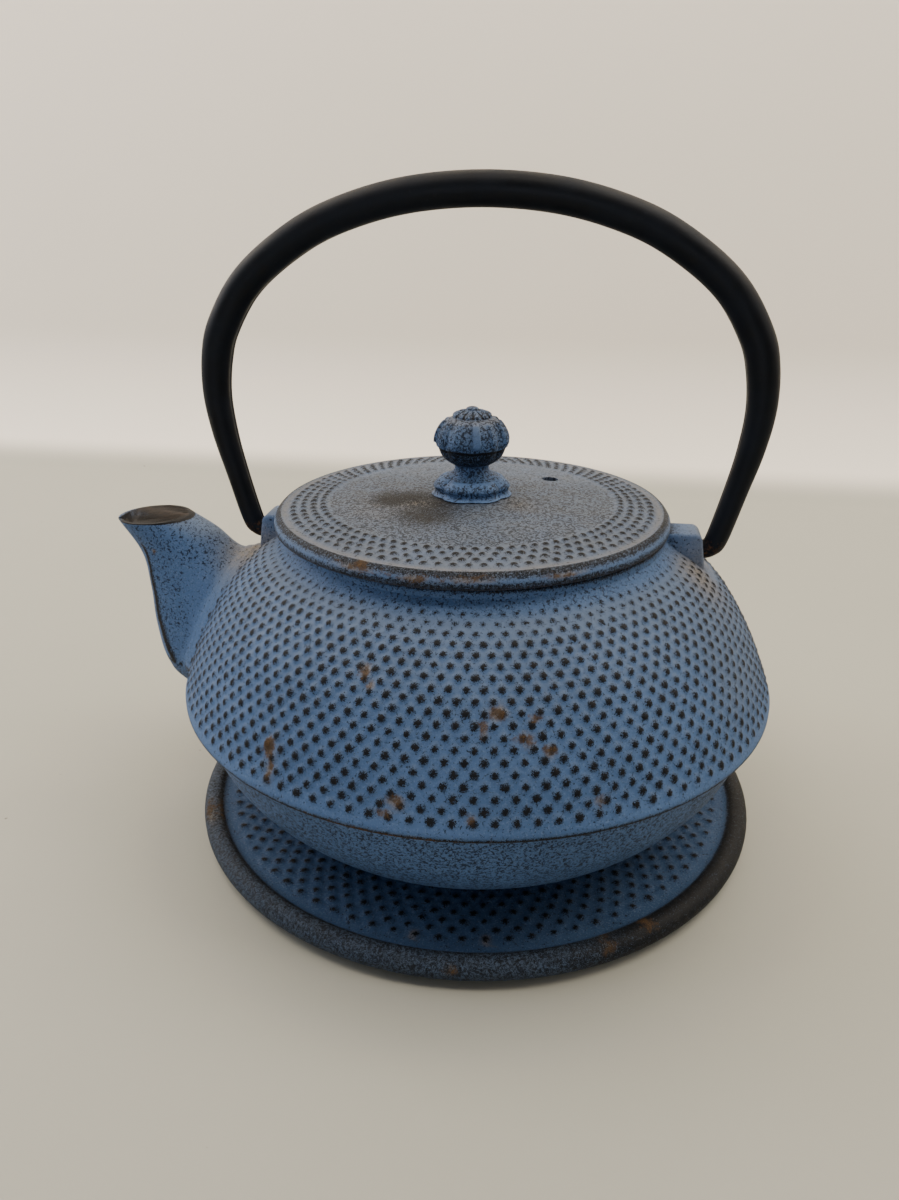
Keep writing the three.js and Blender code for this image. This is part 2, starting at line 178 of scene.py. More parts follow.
def turned(outline, counts, closed=False):
    """Rings around Z through an outline, which climbs on the outside so that its faces look out.

    counts is how many points each ring has. Neighbouring counts are equal or whole multiples.
    Ends that aren't closed get flat caps."""
    outline = np.array(outline, float)
    counts = np.broadcast_to(counts, len(outline))
    points = []
    starts = []
    total = 0
    for (radius, height), count in zip(outline, counts):
        angle = circle(count)
        x, y = radius * np.cos(angle), radius * np.sin(angle)
        points.append(np.column_stack([x, y, np.full(count, height)]))
        starts.append(total)
        total += count
    faces = []
    pairs = list(zip(range(len(outline)), range(1, len(outline))))
    if closed:
        pairs.append((len(outline) - 1, 0))
    for a, b in pairs:
        faces += ring_faces(starts[a], counts[a], starts[b], counts[b])
    if not closed:
        faces.append(tuple(range(starts[0] + counts[0] - 1, starts[0] - 1, -1)))
        faces.append(tuple(range(starts[-1], starts[-1] + counts[-1])))
    return np.vstack(points), faces


def ring_faces(start_a, count_a, start_b, count_b):
    """The faces between two rings, the first of them below the second."""
    if count_a >= count_b:
        step = count_a // count_b
        return [
            tuple(start_a + (step * j + i) % count_a for i in range(step + 1))
            + (start_b + (j + 1) % count_b, start_b + j)
            for j in range(count_b)
        ]
    step = count_b // count_a
    return [
        (start_a + j, start_a + (j + 1) % count_a)
        + tuple(start_b + (step * j + i) % count_b for i in range(step, -1, -1))
        for j in range(count_a)
    ]


def swept(centres, across, side, sides, shape=None):
    """A skin along a line of centres. across and side are the half axes of each section, and shape
    gives the sections' angles, at each share of the length, as (share of across, share of side)."""
    angle = circle(sides)
    rows = []
    for share, c, a, s in zip(np.linspace(0, 1, len(centres)), centres, across, side):
        low, wide = (np.cos(angle), np.sin(angle)) if shape is None else shape(angle, share)
        rows.append(c + np.outer(low, a) + np.outer(wide, s))
    points = np.vstack(rows)
    faces = []
    for i in range(len(centres) - 1):
        faces += ring_faces(i * sides, sides, (i + 1) * sides, sides)
    faces.append(tuple(range(sides - 1, -1, -1)))
    last = (len(centres) - 1) * sides
    faces.append(tuple(range(last, last + sides)))
    return points, faces


# ---- hobnails --------------------------------------------------------------------------------


class Nails:
    """Staggered rings of small domes on a turned surface, each ring with the same number of them."""

    def __init__(self, rows, radii, count, seed, largest=1.75):
        self.rows = np.array(rows, float)
        self.radii = np.array(radii, float)
        self.count = count
        spacing = abs(np.diff(self.rows)).mean()
        half_pitch = math.pi * self.radii / count
        self.reach = np.minimum(0.5 * np.hypot(half_pitch, spacing), largest)
        chance = np.random.default_rng(seed)
        self.size = chance.uniform(0.98, 1.24, (len(self.rows), count))
        self.lift = chance.uniform(0.85, 1.1, (len(self.rows), count))

    def measure(self, angle, arc, radius):
        """For each point, the share of a dome's height there, and how near its tip is, from 0 to 1."""
        best = np.full(len(angle), np.inf)
        height = np.zeros(len(angle))
        tip = np.zeros(len(angle))
        for i, row in enumerate(self.rows):
            turn = angle * self.count / (2 * math.pi) - 0.5 * (i % 2)
            nail = np.round(turn).astype(int)
            sideways = (turn - nail) * 2 * math.pi / self.count * radius
            away = np.hypot(sideways, arc - row) / self.reach[i]
            nearest = away < best
            best[nearest] = away[nearest]
            nail %= self.count
            dome = np.clip(1 - away**2, 0, 1) ** 1.6 * self.lift[i, nail]
            height[nearest] = dome[nearest]
            cone = 1 - away / self.size[i, nail]
            tip[nearest] = np.clip(cone, 0, 1)[nearest]
        return height, tip


def push_out(points, normals_rz, ring_index, distance):
    """Moves the points of a turned skin out along its outline's normals."""
    angle = angles_of(points)
    normal = normals_rz[ring_index]
    moved = points.copy()
    moved[:, 0] += np.cos(angle) * normal[:, 0] * distance
    moved[:, 1] += np.sin(angle) * normal[:, 0] * distance
    moved[:, 2] += normal[:, 1] * distance
    return moved


def ring_indices(counts):
    return np.repeat(np.arange(len(counts)), counts)


# ---- meshes ----------------------------------------------------------------------------------


def add_object(name, data):
    made = bpy.data.objects.new(name, data)
    bpy.context.scene.collection.objects.link(made)
    return made


def mesh_object(name, points, faces, offset=0.0):
    """An object from points in millimetres round the pot's axis, or an axis at an offset from it."""
    mesh = bpy.data.meshes.new(name)
    points = (points + np.array([POT_AXIS + offset, 0, 0])) * MM
    mesh.from_pydata(points.tolist(), [], faces)
    mesh.update()
    return add_object(name, mesh)


def vectors(items, attribute):
    flat = np.zeros(3 * len(items), np.float32)
    items.foreach_get(attribute, flat)
    return flat.reshape(-1, 3).astype(float)


def local_points(made, offset=0.0):
    return vectors(made.data.vertices, "co") / MM - np.array([POT_AXIS + offset, 0, 0])


def local_normals(made):
    return vectors(made.data.vertex_normals, "vector")


def skin_normals(points, faces):
    """The vertex normals of a skin that isn't an object yet."""
    mesh = bpy.data.meshes.new("normals")
    mesh.from_pydata(points.tolist(), [], faces)
    mesh.update()
    normals = vectors(mesh.vertex_normals, "vector")
    bpy.data.meshes.remove(mesh)
    return normals


def add_mask(made, name, values):
    layer = made.data.attributes.new(name, "FLOAT", "POINT")
    layer.data.foreach_set("value", np.clip(values, 0, 1).astype(np.float32))


def finish_piece(made, material, body, nodes, sharp_degrees=40):
    """Shades a piece, gives it its material, and ties it to its CAD body and nodes."""
    made.data.materials.clear()
    made.data.materials.append(material)
    made.data.polygons.foreach_set("use_smooth", np.ones(len(made.data.polygons), bool))
    made.data.set_sharp_from_angle(angle=math.radians(sharp_degrees))
    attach(made, body)
    if nodes:
        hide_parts(*nodes)
    return made


def applied(made):
    """Replaces a mesh by what its modifiers make of it."""
    graph = bpy.context.evaluated_depsgraph_get()
    result = bpy.data.meshes.new_from_object(made.evaluated_get(graph))
    made.modifiers.clear()
    old = made.data
    made.data = result
    bpy.data.meshes.remove(old)


def boolean(made, operation, tool):
    """Joins or cuts a closed mesh with another, and removes the other."""
    cut = made.modifiers.new(operation, "BOOLEAN")
    cut.operation = operation
    cut.object = tool
    cut.solver = "MANIFOLD"
    applied(made)
    bpy.data.objects.remove(tool)


def bevelled(made, width, segments=2, degrees=35):
    edge = made.modifiers.new("edges", "BEVEL")
    edge.width = width * MM
    edge.segments = segments
    edge.limit_method = "ANGLE"
    edge.angle_limit = math.radians(degrees)
    applied(made)


def rod(name, ring, start, stop, offset=0.0, mirrored=False):
    """A straight closed bar with the section ring, from one shift of it to another."""
    count = len(ring)
    points = np.vstack([ring + start, ring + stop])
    faces = ring_faces(0, count, count, count)
    faces += [tuple(range(count - 1, -1, -1)), tuple(range(count, 2 * count))]
    if mirrored:
        faces = [tuple(reversed(f)) for f in faces]
    return mesh_object(name, points, faces, offset)


def lookup(made, sources, offset=0.0):
    """For each vertex of a mesh, the value that the nearest source point carries.

    sources is a list of (points, values), in millimetres around the same axis."""
    points = np.vstack([p for p, _ in sources])
    values = np.concatenate([v for _, v in sources])
    tree = KDTree(len(points))
    for i, point in enumerate(points):
        tree.insert(point, i)
    tree.balance()
    return np.array([values[tree.find(p)[1]] for p in local_points(made, offset)])


# ---- soft spots for the masks ----------------------------------------------------------------


def ramp(value, low, high):
    """0 below low, 1 above high, and smooth between. low may be above high."""
    t = np.clip((value - low) / (high - low), 0, 1)
    return t * t * (3 - 2 * t)


def spot(points, azimuth, height, wide, tall):
    """A soft patch on a turned surface, at an azimuth in degrees and a height."""
    angle = np.degrees(angles_of(points)) - azimuth
    angle = (angle + 180) % 360 - 180
    radius = from_axis(points)
    across = np.radians(angle) * radius / wide
    up = (points[:, 2] - height) / tall
    return np.exp(-(across**2) - up**2)


def ball(points, centre, radius):
    away = np.linalg.norm(points - np.array(centre), axis=1) / radius
    return np.exp(-(away**2))


def strongest(*layers):
    return np.clip(np.max(np.vstack(layers), axis=0), 0, 1)


def spots(points, rows):
    """The strongest of several spots. Each row is azimuth, height, wide, tall and strength."""
    return strongest(*(spot(points, *row[:4]) * row[4] for row in rows))


def balls(points, rows):
    """The strongest of several balls. Each row is the centre's x, y and z, radius and strength."""
    return strongest(*(ball(points, row[:3], row[3]) * row[4] for row in rows))


# ---- materials -------------------------------------------------------------------------------


def colour(code):
    """A colour written as six hex digits, as the linear colour that a socket takes."""
    parts = [int(code[i : i + 2], 16) / 255 for i in (0, 2, 4)]
    return [c / 12.92 if c <= 0.04045 else ((c + 0.055) / 1.055) ** 2.4 for c in parts] + [1.0]


class Look:
    """A material made of procedural nodes, with short names for the few kinds that it needs."""

    def __init__(self, name, metallic=0.0, specular=0.5):
        self.material = bpy.data.materials.new(name)
        self.material.use_nodes = True
        self.tree = self.material.node_tree
        self.shader = self.tree.nodes["Principled BSDF"]
        self.shader.inputs["Metallic"].default_value = metallic
        self.shader.inputs["Specular IOR Level"].default_value = specular
        self.place = self.tree.nodes.new("ShaderNodeTexCoord").outputs["Object"]

    def link(self, source, socket):
        """Feeds a socket from another socket, a number or a colour written as hex digits."""
        if isinstance(source, bpy.types.NodeSocket):
            self.tree.links.new(source, socket)
        else:
            socket.default_value = colour(source) if isinstance(source, str) else source

    def mask(self, name):
        node = self.tree.nodes.new("ShaderNodeAttribute")
        node.attribute_name = name
        return node.outputs["Fac"]

    def noise(self, scale, detail=2.0, roughness=0.5, distortion=0.0):
        node = self.tree.nodes.new("ShaderNodeTexNoise")
        self.tree.links.new(self.place, node.inputs["Vector"])
        node.inputs["Scale"].default_value = scale
        node.inputs["Detail"].default_value = detail
        node.inputs["Roughness"].default_value = roughness
        node.inputs["Distortion"].default_value = distortion
        return node.outputs["Fac"]

    def math(self, operation, a, b=0.0, c=0.0):
        node = self.tree.nodes.new("ShaderNodeMath")
        node.operation = operation
        for source, socket in zip((a, b, c), node.inputs):
            self.link(source, socket)
        return node.outputs[0]

    def times(self, a, b):
        return self.math("MULTIPLY", a, b)

    def larger(self, a, b):
        return self.math("MAXIMUM", a, b)

    def swayed(self, value, grain, reach):
        """A value, raised and lowered by a grain."""
        return self.math("MULTIPLY_ADD", self.math("SUBTRACT", grain, 0.5), reach, value)

    def step(self, value, low, high):
        """0 below low, 1 above high. low and high may be sockets."""
        node = self.tree.nodes.new("ShaderNodeMapRange")
        node.interpolation_type = "SMOOTHSTEP"
        self.link(value, node.inputs["Value"])
        self.link(low, node.inputs["From Min"])
        self.link(high, node.inputs["From Max"])
        return node.outputs["Result"]

    def between(self, share, low, high):
        """A number from low to high as share goes from 0 to 1."""
        node = self.tree.nodes.new("ShaderNodeMapRange")
        self.link(share, node.inputs["Value"])
        node.inputs["To Min"].default_value = low
        node.inputs["To Max"].default_value = high
        return node.outputs["Result"]

    def mix(self, share, a, b):
        node = self.tree.nodes.new("ShaderNodeMix")
        node.data_type = "RGBA"
        self.link(share, node.inputs["Factor"])
        self.link(a, node.inputs[6])
        self.link(b, node.inputs[7])
        return node.outputs[2]

    def worn(self, mask, grain, reach, edge=0.06):
        """Where a mask, roughened by a grain, passes one half."""
        return self.step(self.swayed(mask, grain, reach), 0.5 - edge, 0.5 + edge)

    def relief(self, *layers):
        """Chained bumps. Each layer is (height socket, depth in millimetres)."""
        normal = None
        for height, depth in layers:
            bump = self.tree.nodes.new("ShaderNodeBump")
            bump.inputs["Strength"].default_value = 1.0
            bump.inputs["Distance"].default_value = depth * MM
            self.tree.links.new(height, bump.inputs["Height"])
            if normal is not None:
                self.tree.links.new(normal, bump.inputs["Normal"])
            normal = bump.outputs["Normal"]
        self.tree.links.new(normal, self.shader.inputs["Normal"])

    def finish(self, base, roughness):
        self.link(base, self.shader.inputs["Base Color"])
        self.link(roughness, self.shader.inputs["Roughness"])
        return self.material


def painted_iron(name, deep, pale, dust_and_light_grey, bare, bare_rim):
    """Matt paint on cast iron. It reads the masks tip, wear, rust, dust, settle, speck and inside. The
    wear mask also carries painted shade, and the settle mask greys paint for dust and for painted
    light.
    """
    look = Look(name, specular=0.22)
    cloud = look.noise(30, 3, 0.55)
    grain = look.noise(2300, 3, 0.65)
    chips = look.noise(2100, 3, 0.75, 1.6)
    flakes = look.noise(520, 4, 0.65, 0.5)
    patches = look.noise(150, 4, 0.65, 0.4)

    paint = look.mix(look.step(cloud, 0.3, 0.7), deep, pale)
    paint = look.mix(look.times(look.step(grain, 0.5, 0.7), 0.16), paint, "a9b9cc")
    # Paint greyed where the settle mask says: dust, and painted light on up-facing and lit surfaces.
    greyed_by_dust_and_light = look.times(look.mask("dust_and_painted_light"), look.between(patches, 0.45, 1.25))
    paint = look.mix(greyed_by_dust_and_light, paint, dust_and_light_grey)

    speck = look.mask("speck")
    coarse = look.math("ABSOLUTE", look.math("SUBTRACT", look.noise(800, 1.5, 0.5), 0.5))
    fine = look.math("ABSOLUTE", look.math("SUBTRACT", look.noise(1700, 1.5, 0.5), 0.52))
    width = look.times(speck, 0.085)
    inner = look.times(width, 0.55)
    coarse = look.step(coarse, width, inner)
    fine = look.times(look.step(fine, width, inner), 0.55)
    low, high = look.between(speck, 0.62, 0.40), look.between(speck, 0.70, 0.50)
    broken = look.step(look.noise(1300, 2, 0.5), low, high)
    low, high = look.between(speck, 0.72, 0.58), look.between(speck, 0.76, 0.64)
    dots = look.step(look.noise(2600, 2, 0.5), low, high)
    specks = look.larger(look.times(look.larger(coarse, fine), broken), dots)
    tips = look.worn(look.mask("tip"), chips, 1.7, 0.1)
    wear_and_shade = look.worn(look.mask("wear_and_shade"), chips, 1.5, 0.1)
    rust = look.worn(look.mask("rust"), flakes, 1.7, 0.2)
    halo = look.worn(look.mask("rust"), patches, 1.0, 0.35)
    dust = look.times(look.mask("dust"), look.between(flakes, 0.25, 1.25))

    iron = look.mix(look.step(flakes, 0.5, 0.75), bare, bare_rim)
    tan = look.mix(look.step(grain, 0.4, 0.6), "75674c", "918264")
    orange = look.mix(look.step(chips, 0.4, 0.65), "33271c", "685036")
    within = look.mix(look.step(flakes, 0.4, 0.7), "2b2623", "3f352e")

    base = look.mix(look.times(halo, 0.62), paint, tan)
    base = look.mix(look.times(dust, 0.75), base, tan)
    base = look.mix(look.times(specks, 0.84), base, "0b1018")
    base = look.mix(tips, base, iron)
    # The wear mask bares the iron: real wear on rims and edges, and painted shade on the knob's crease
    # and bowl.
    base = look.mix(wear_and_shade, base, iron)
    base = look.mix(look.times(rust, 0.85), base, orange)
    base = look.mix(look.mask("inside"), base, within)

    bared = look.larger(look.larger(tips, wear_and_shade), specks)
    look.relief(
        (look.noise(700, 3, 0.6), 0.05),
        (grain, 0.035),
        (look.math("SUBTRACT", 1.0, bared), 0.06),
        (rust, 0.06),
    )
    roughness = look.between(look.larger(rust, dust), 0.6, 0.9)
    return look.finish(base, look.swayed(roughness, grain, 0.25))


def handle_enamel():
    """Satin black enamel with fine dust, worn to brown iron at the hooks."""
    look = Look("handle_black", specular=0.14)
    grain = look.noise(1800, 3, 0.6)
    cloud = look.noise(90, 3, 0.6)
    chips = look.noise(800, 3, 0.65, 0.6)
    base = look.mix(look.step(cloud, 0.35, 0.7), "080b10", "0d121a")
    scuffs = look.times(look.step(look.noise(650, 3, 0.7), 0.6, 0.75), 0.2)
    base = look.mix(scuffs, base, "22272e")
    wear_and_shade = look.worn(look.mask("wear_and_shade"), chips, 1.3, 0.12)
    brown = look.mix(look.step(grain, 0.4, 0.6), "1f1712", "46301f")
    base = look.mix(wear_and_shade, base, brown)
    look.relief((look.noise(420, 3, 0.6), 0.05), (grain, 0.02), (wear_and_shade, 0.05))
    roughness = look.between(look.larger(wear_and_shade, look.step(cloud, 0.3, 0.8)), 0.42, 0.6)
    return look.finish(base, look.swayed(roughness, grain, 0.2))


def stainless(name, tint, polish):
    """Brushed stainless sheet, lightly stained by tea."""
    look = Look(name, metallic=1.0)
    stretch = look.tree.nodes.new("ShaderNodeVectorMath")
    stretch.operation = "MULTIPLY"
    stretch.inputs[1].default_value = (1, 1, 40)
    look.tree.links.new(look.place, stretch.inputs[0])
    brushed = look.noise(260, 3, 0.7)
    look.tree.links.new(stretch.outputs[0], brushed.node.inputs["Vector"])
    stain = look.step(look.noise(70, 4, 0.6), 0.5, 0.8)
    base = look.mix(stain, tint, "8a7c6a")
    look.relief((brushed, 0.006), (look.noise(900, 2), 0.004))
    roughness = look.math("MULTIPLY_ADD", brushed, 0.18, polish)
    return look.finish(base, look.math("MULTIPLY_ADD", stain, 0.12, roughness))


def rubber():
    look = Look("foot_rubber", specular=0.3)
    grain = look.noise(2600, 3, 0.7)
    base = look.mix(look.step(look.noise(240, 3), 0.4, 0.7), "151516", "2a2a2b")
    base = look.mix(look.times(look.step(grain, 0.6, 0.75), 0.4), base, "6b675f")
    look.relief((grain, 0.03))
    return look.finish(base, look.between(grain, 0.7, 0.95))


def stage_finish():
    """A pale grey-white tabletop with a few specks, turning to a cream wall where it curves up."""
    look = Look("table_and_wall", specular=0.3)
    split = look.tree.nodes.new("ShaderNodeSeparateXYZ")
    look.tree.links.new(look.place, split.inputs[0])
    wall = look.step(split.outputs["Z"], 0.0004, 0.012)
    table = look.mix(look.noise(5, 3, 0.5), "aeada1", "a5a498")
    marks = look.step(look.noise(260, 2, 0.4), 0.765, 0.785)
    marks = look.times(marks, look.step(look.noise(30, 2, 0.4), 0.5, 0.6))
    table = look.mix(look.times(marks, 0.75), table, "6a655c")
    plaster = look.mix(look.noise(4, 3, 0.5), "f6eee0", "f1e9db")
    look.relief((look.noise(500, 3), 0.02))
    return look.finish(look.mix(wall, table, plaster), look.between(wall, 0.5, 0.9))


def far_walls_finish():
    """The room's other walls, behind the camera and at the sides."""
    look = Look("far_walls", specular=0.1)
    return look.finish(look.mix(look.noise(4, 3, 0.5), "918f8c", "8c8a87"), 0.9)


BLUE = painted_iron("pot_blue", "435e84", "4c6890", "5c697b", "070a10", "1a1616")
LID_BLUE = painted_iron("lid_blue", "46628a", "506c93", "5d6268", "080b10", "201b16")
TRIVET_BLUE = painted_iron("trivet_blue", "304868", "3a5272", "4b555f", "07090d", "1a1816")
HANDLE_BLACK = handle_enamel()
STEEL = stainless("infuser_steel", "b9bcc0", 0.22)
ZINC = stainless("screw_zinc", "a9a99f", 0.34)
RUBBER = rubber()


# ---- pot -------------------------------------------------------------------------------------

NAIL_COUNT = 112  # hobnails in each ring round the pot
NAIL_ROWS = 19
NAIL_PITCH = 2.56  # along the shoulder, from one ring to the next
NAIL_HEIGHT = 0.62
LOWEST_ROW = 47.0  # height of the lowest ring
FINE = 6 * NAIL_COUNT  # points round a hobnailed ring
PLAIN = FINE // 4
ROW_STEPS = 4
FLANGE_RADIUS = 82.5
COLLAR_RADIUS = 51.2
THROAT_RADIUS = 43.5
LEDGE_RADIUS = 47.6
LEDGE_HEIGHT = 86.6
SPOUT_SIDES = 90
SPOUT_STEPS = 90
SPOUT_WALL = 2.2
MOUTH_WALL = 1.0  # the spout's wall is thinner at the mouth
FILLET_RADIUS = 5.0
LUG_THICKNESS = 10.0
LUG_HOLE_RADIUS = 3.1

BOWL = [[44, POT_BASE], [54, 7.9], [65.3, 15.6], [74.6, 27.5], [80.3, PARTING]]
SHOULDER = [[FLANGE_RADIUS, 44.6], [80.6, 48.2], [76.6, 57.5], [69.6, 69.2], [61, 78.2]]
SHOULDER += [[53.6, 83.3], [COLLAR_RADIUS, 85.6]]
CAVITY = [[40, 10], [56, 14.2], [68.4, 25], [76.2, 41], [75.2, 52], [68, 65], [58, 75.4]]
CAVITY += [[THROAT_RADIUS, 82.6]]

# Each section of the spout: [x, z] of its underside, [x, z] of its back, half its width.
SPOUT = np.array([
    [-70, 34, -48, 54, 14], [-86.6, 31.6, -50, 64, 16], [-94, 40, -57, 70.5, 14.6],
    [-96.4, 52, -65, 73.4, 12.6], [-96.8, 63.6, -71, 76.2, 10.8], [-98.4, 73.4, -76.2, 80.8, 9.5],
    [-104.7, 84.2, -83.8, 84.9, 9.2],
])
KEEL = math.radians(56)  # the spout's underside is a flat strip up to this angle on each side


def keel_section(angle, share):
    """The spout's section: an oval, with a flat strip between two creases except near the mouth."""
    edge = math.cos(KEEL)
    low = np.cos(angle)
    flat = np.where(low > edge, edge + (low - edge) * 0.5, low)
    flat = np.where(flat > 0, flat / (edge + (1 - edge) * 0.5), flat)
    keel = float(ramp(share, 0.93, 0.72) * ramp(share, 0.18, 0.3))
    return low + (flat - low) * keel, -np.sin(angle)


def crease_mask(rings, sides):
    """1 along the two creases of the spout's skin, fading away from them."""
    angle = circle(sides)
    away = np.minimum(np.abs(angle - KEEL), np.abs(angle - 2 * math.pi + KEEL))
    share = np.linspace(0, 1, rings)
    fade = ramp(share, 0.25, 0.35) * ramp(share, 0.97, 0.85)
    return np.outer(fade, np.exp(-((away / 0.09) ** 2))).ravel()


def spout_skin(inset, beyond, sides, steps, shape=None):
    """The spout's skin, drawn in by an inset that goes from its root's to its mouth's value."""
    line = curve_through(SPOUT, 16)
    line = line[np.linspace(0, len(line) - 1, steps).round().astype(int)]
    inset = inset[0] + (inset[1] - inset[0]) * ramp(np.linspace(0, 1, steps), 0.7, 1.0)
    low = in_plane(line[:, 0], line[:, 1])
    high = in_plane(line[:, 2], line[:, 3])
    centre = (low + high) / 2
    across = (low - high) / 2
    length = np.linalg.norm(across, axis=1)[:, None]
    across *= (length - inset[:, None]) / length
    side = np.column_stack([np.zeros(len(line)), line[:, 4] - inset, np.zeros(len(line))])
    if beyond:
        reach = (centre[-1] - centre[-2]) / np.linalg.norm(centre[-1] - centre[-2])
        centre = np.vstack([centre, centre[-1] + reach * beyond])
        across = np.vstack([across, across[-1]])
        side = np.vstack([side, side[-1]])
    return swept(centre, across, side, sides, shape)


def distance_outside(skin_points, skin_faces, points):
    """How far points lie outside a closed skin. Inside it the distance is 0."""
    tree = BVHTree.FromPolygons(skin_points.tolist(), skin_faces)
    result = np.zeros(len(points))
    for i, point in enumerate(points):
        near, normal, _, away = tree.find_nearest(point)
        if (Vector(point) - near).dot(normal) > 0:
            result[i] = away
    return result


def fillet(distance):
    """How much the pot or the spout rises beside the other, this far from it."""
    flat = 0.29 * FILLET_RADIUS
    d = np.clip(distance, flat, FILLET_RADIUS)
    rise = FILLET_RADIUS - np.sqrt(np.maximum(FILLET_RADIUS**2 - (FILLET_RADIUS - d) ** 2, 0))
    return rise + np.clip(flat - distance, 0, None)


def pot_outside():
    """The closed skin of the pot without spout and lugs, and each point's share of dome and tip.

    Returns points, faces, each point's ring, the rings' normals, domes and tips."""
    bowl = even_points(curve_through(BOWL), 2.2)
    shoulder = curve_through(SHOULDER)
    arcs = arc_lengths(shoulder)
    first = np.interp(LOWEST_ROW, shoulder[:, 1], arcs)
    rows = first + NAIL_PITCH * np.arange(NAIL_ROWS)
    start = first - NAIL_PITCH / 2
    stop = rows[-1] + NAIL_PITCH / 2
    ring_arcs = np.linspace(start, stop, (NAIL_ROWS * ROW_STEPS) + 1)
    nailed = at_lengths(shoulder, ring_arcs)
    below = at_lengths(shoulder, [0.0, start / 2])
    above = at_lengths(shoulder, [stop + 0.5, (stop + arcs[-1]) / 2, arcs[-1]])
    flange = [[82, FLANGE_BOTTOM], [FLANGE_RADIUS, FLANGE_BOTTOM + 0.7]]
    collar = [[COLLAR_RADIUS, COLLAR_TOP - 0.5], [COLLAR_RADIUS - 0.5, COLLAR_TOP]]
    outline = np.vstack([[[20, POT_BASE]], bowl, flange, below, nailed, above, collar])
    before = 1 + len(bowl) + len(flange) + len(below)
    counts = np.array([PLAIN] * before + [FINE] * len(nailed) + [PLAIN] * (len(above) + len(collar)))
    points, faces = turned(outline, counts)
    rings = ring_indices(counts)
    arc_of_ring = np.full(len(outline), -99.0)
    arc_of_ring[before : before + len(nailed)] = ring_arcs
    nails = Nails(rows, at_lengths(shoulder, rows)[:, 0], NAIL_COUNT, seed=7)
    angle = angles_of(points)
    dome, tip = nails.measure(angle, arc_of_ring[rings], outline[rings, 0])
    return points, faces, rings, side_normals(outline), dome, tip


def lug_object(name, sign):
    """A flat ear with the handle's blind hole, standing on the shoulder."""
    outline = [[47.8, 73], [61.9, 73], [61.4, 79], [60.3, 85.8]]
    outline += [[59.8, 87.0], [58.4, 87.6], [47.8, 87.6]]
    count = len(outline)
    half = LUG_THICKNESS / 2
    points = [[sign * x, y, z] for y in (-half, half) for x, z in outline]
    front = list(range(count))
    back = list(range(2 * count - 1, count - 1, -1))
    faces = [tuple(front), tuple(back)]
    for j in range(count):
        k = (j + 1) % count
        faces.append((k, j, j + count, k + count))
    if sign < 0:
        faces = [tuple(reversed(f)) for f in faces]
    made = mesh_object(name, np.array(points, float), faces)
    bevelled(made, 0.9, 3)
    return made


def lug_hole(name, sign):
    """The round hole for the handle's hook, from inside the lug to beyond its face."""
    angle = circle(32)
    y, z = LUG_HOLE_RADIUS * np.cos(angle), LUG_HOLE_RADIUS * np.sin(angle)
    ring = np.column_stack([np.zeros(32), y, PIVOT_HEIGHT + z])
    return rod(name, ring, [53.6 * sign, 0, 0], [64.0 * sign, 0, 0], mirrored=sign < 0)


def cavity_skin():
    wall = even_points(curve_through(CAVITY), 2.5)
    mouth = [[THROAT_RADIUS, LEDGE_HEIGHT], [LEDGE_RADIUS, LEDGE_HEIGHT]]
    mouth += [[LEDGE_RADIUS, COLLAR_TOP + 2]]
    return turned(np.vstack([[[20, 10]], wall, mouth]), PLAIN)


def make_pot():
    points, faces, rings, normals, dome, tip = pot_outside()
    plain_points = points
    spout_points, spout_faces = spout_skin((0, 0), 0, SPOUT_SIDES, SPOUT_STEPS, keel_section)
    near_spout = distance_outside(spout_points, spout_faces, points)
    near_lug = np.maximum(np.abs(points[:, 1]) - 5.0, 75.0 - points[:, 2])
    beside_lug = np.where(np.abs(points[:, 0]) > 48, near_lug, 9.0)
    free = ramp(near_spout, 1.0, 3.2) * ramp(beside_lug, 0.2, 1.8)
    faint = 1 - 0.62 * ramp(points[:, 2], 78.5, 83.0)
    out = dome * NAIL_HEIGHT * free * faint + fillet(near_spout)
    points = push_out(points, normals, rings, out)
    tip = tip * free * (0.55 + 0.45 * faint)

    near_pot = distance_outside(plain_points, faces, spout_points)
    spout_normals = skin_normals(spout_points, spout_faces)
    spout_points = spout_points + spout_normals * fillet(near_pot)[:, None]

    pot = mesh_object("pot", points, faces)
    boolean(pot, "UNION", mesh_object("spout_tool", spout_points, spout_faces))
    for sign in (-1, 1):
        boolean(pot, "UNION", lug_object("lug_tool", sign))
    cavity_points, cavity_faces = cavity_skin()
    bore_points, bore_faces = spout_skin((SPOUT_WALL, MOUTH_WALL), 6.0, 60, 60)
    boolean(pot, "DIFFERENCE", mesh_object("cavity_tool", cavity_points, cavity_faces))
    boolean(pot, "DIFFERENCE", mesh_object("bore_tool", bore_points, bore_faces))
    for sign in (-1, 1):
        boolean(pot, "DIFFERENCE", lug_hole("hole_tool", sign))

    body_none = np.zeros(len(points))
    spout_none = np.zeros(len(spout_points))
    add_mask(pot, "tip", lookup(pot, [(points, tip), (spout_points, spout_none)]))
    skins = [(points, body_none), (spout_points, spout_none)]
    hollows = [(skin, np.ones(len(skin))) for skin in (cavity_points, bore_points)]
    add_mask(pot, "inside", lookup(pot, skins + hollows))
    creases = crease_mask(SPOUT_STEPS, SPOUT_SIDES)
    pot_masks(pot, lookup(pot, [(points, body_none), (spout_points, creases)]))
    return finish_piece(pot, BLUE, "pot", ["pot_bowl", "pot_shoulder", "pot_spout"])


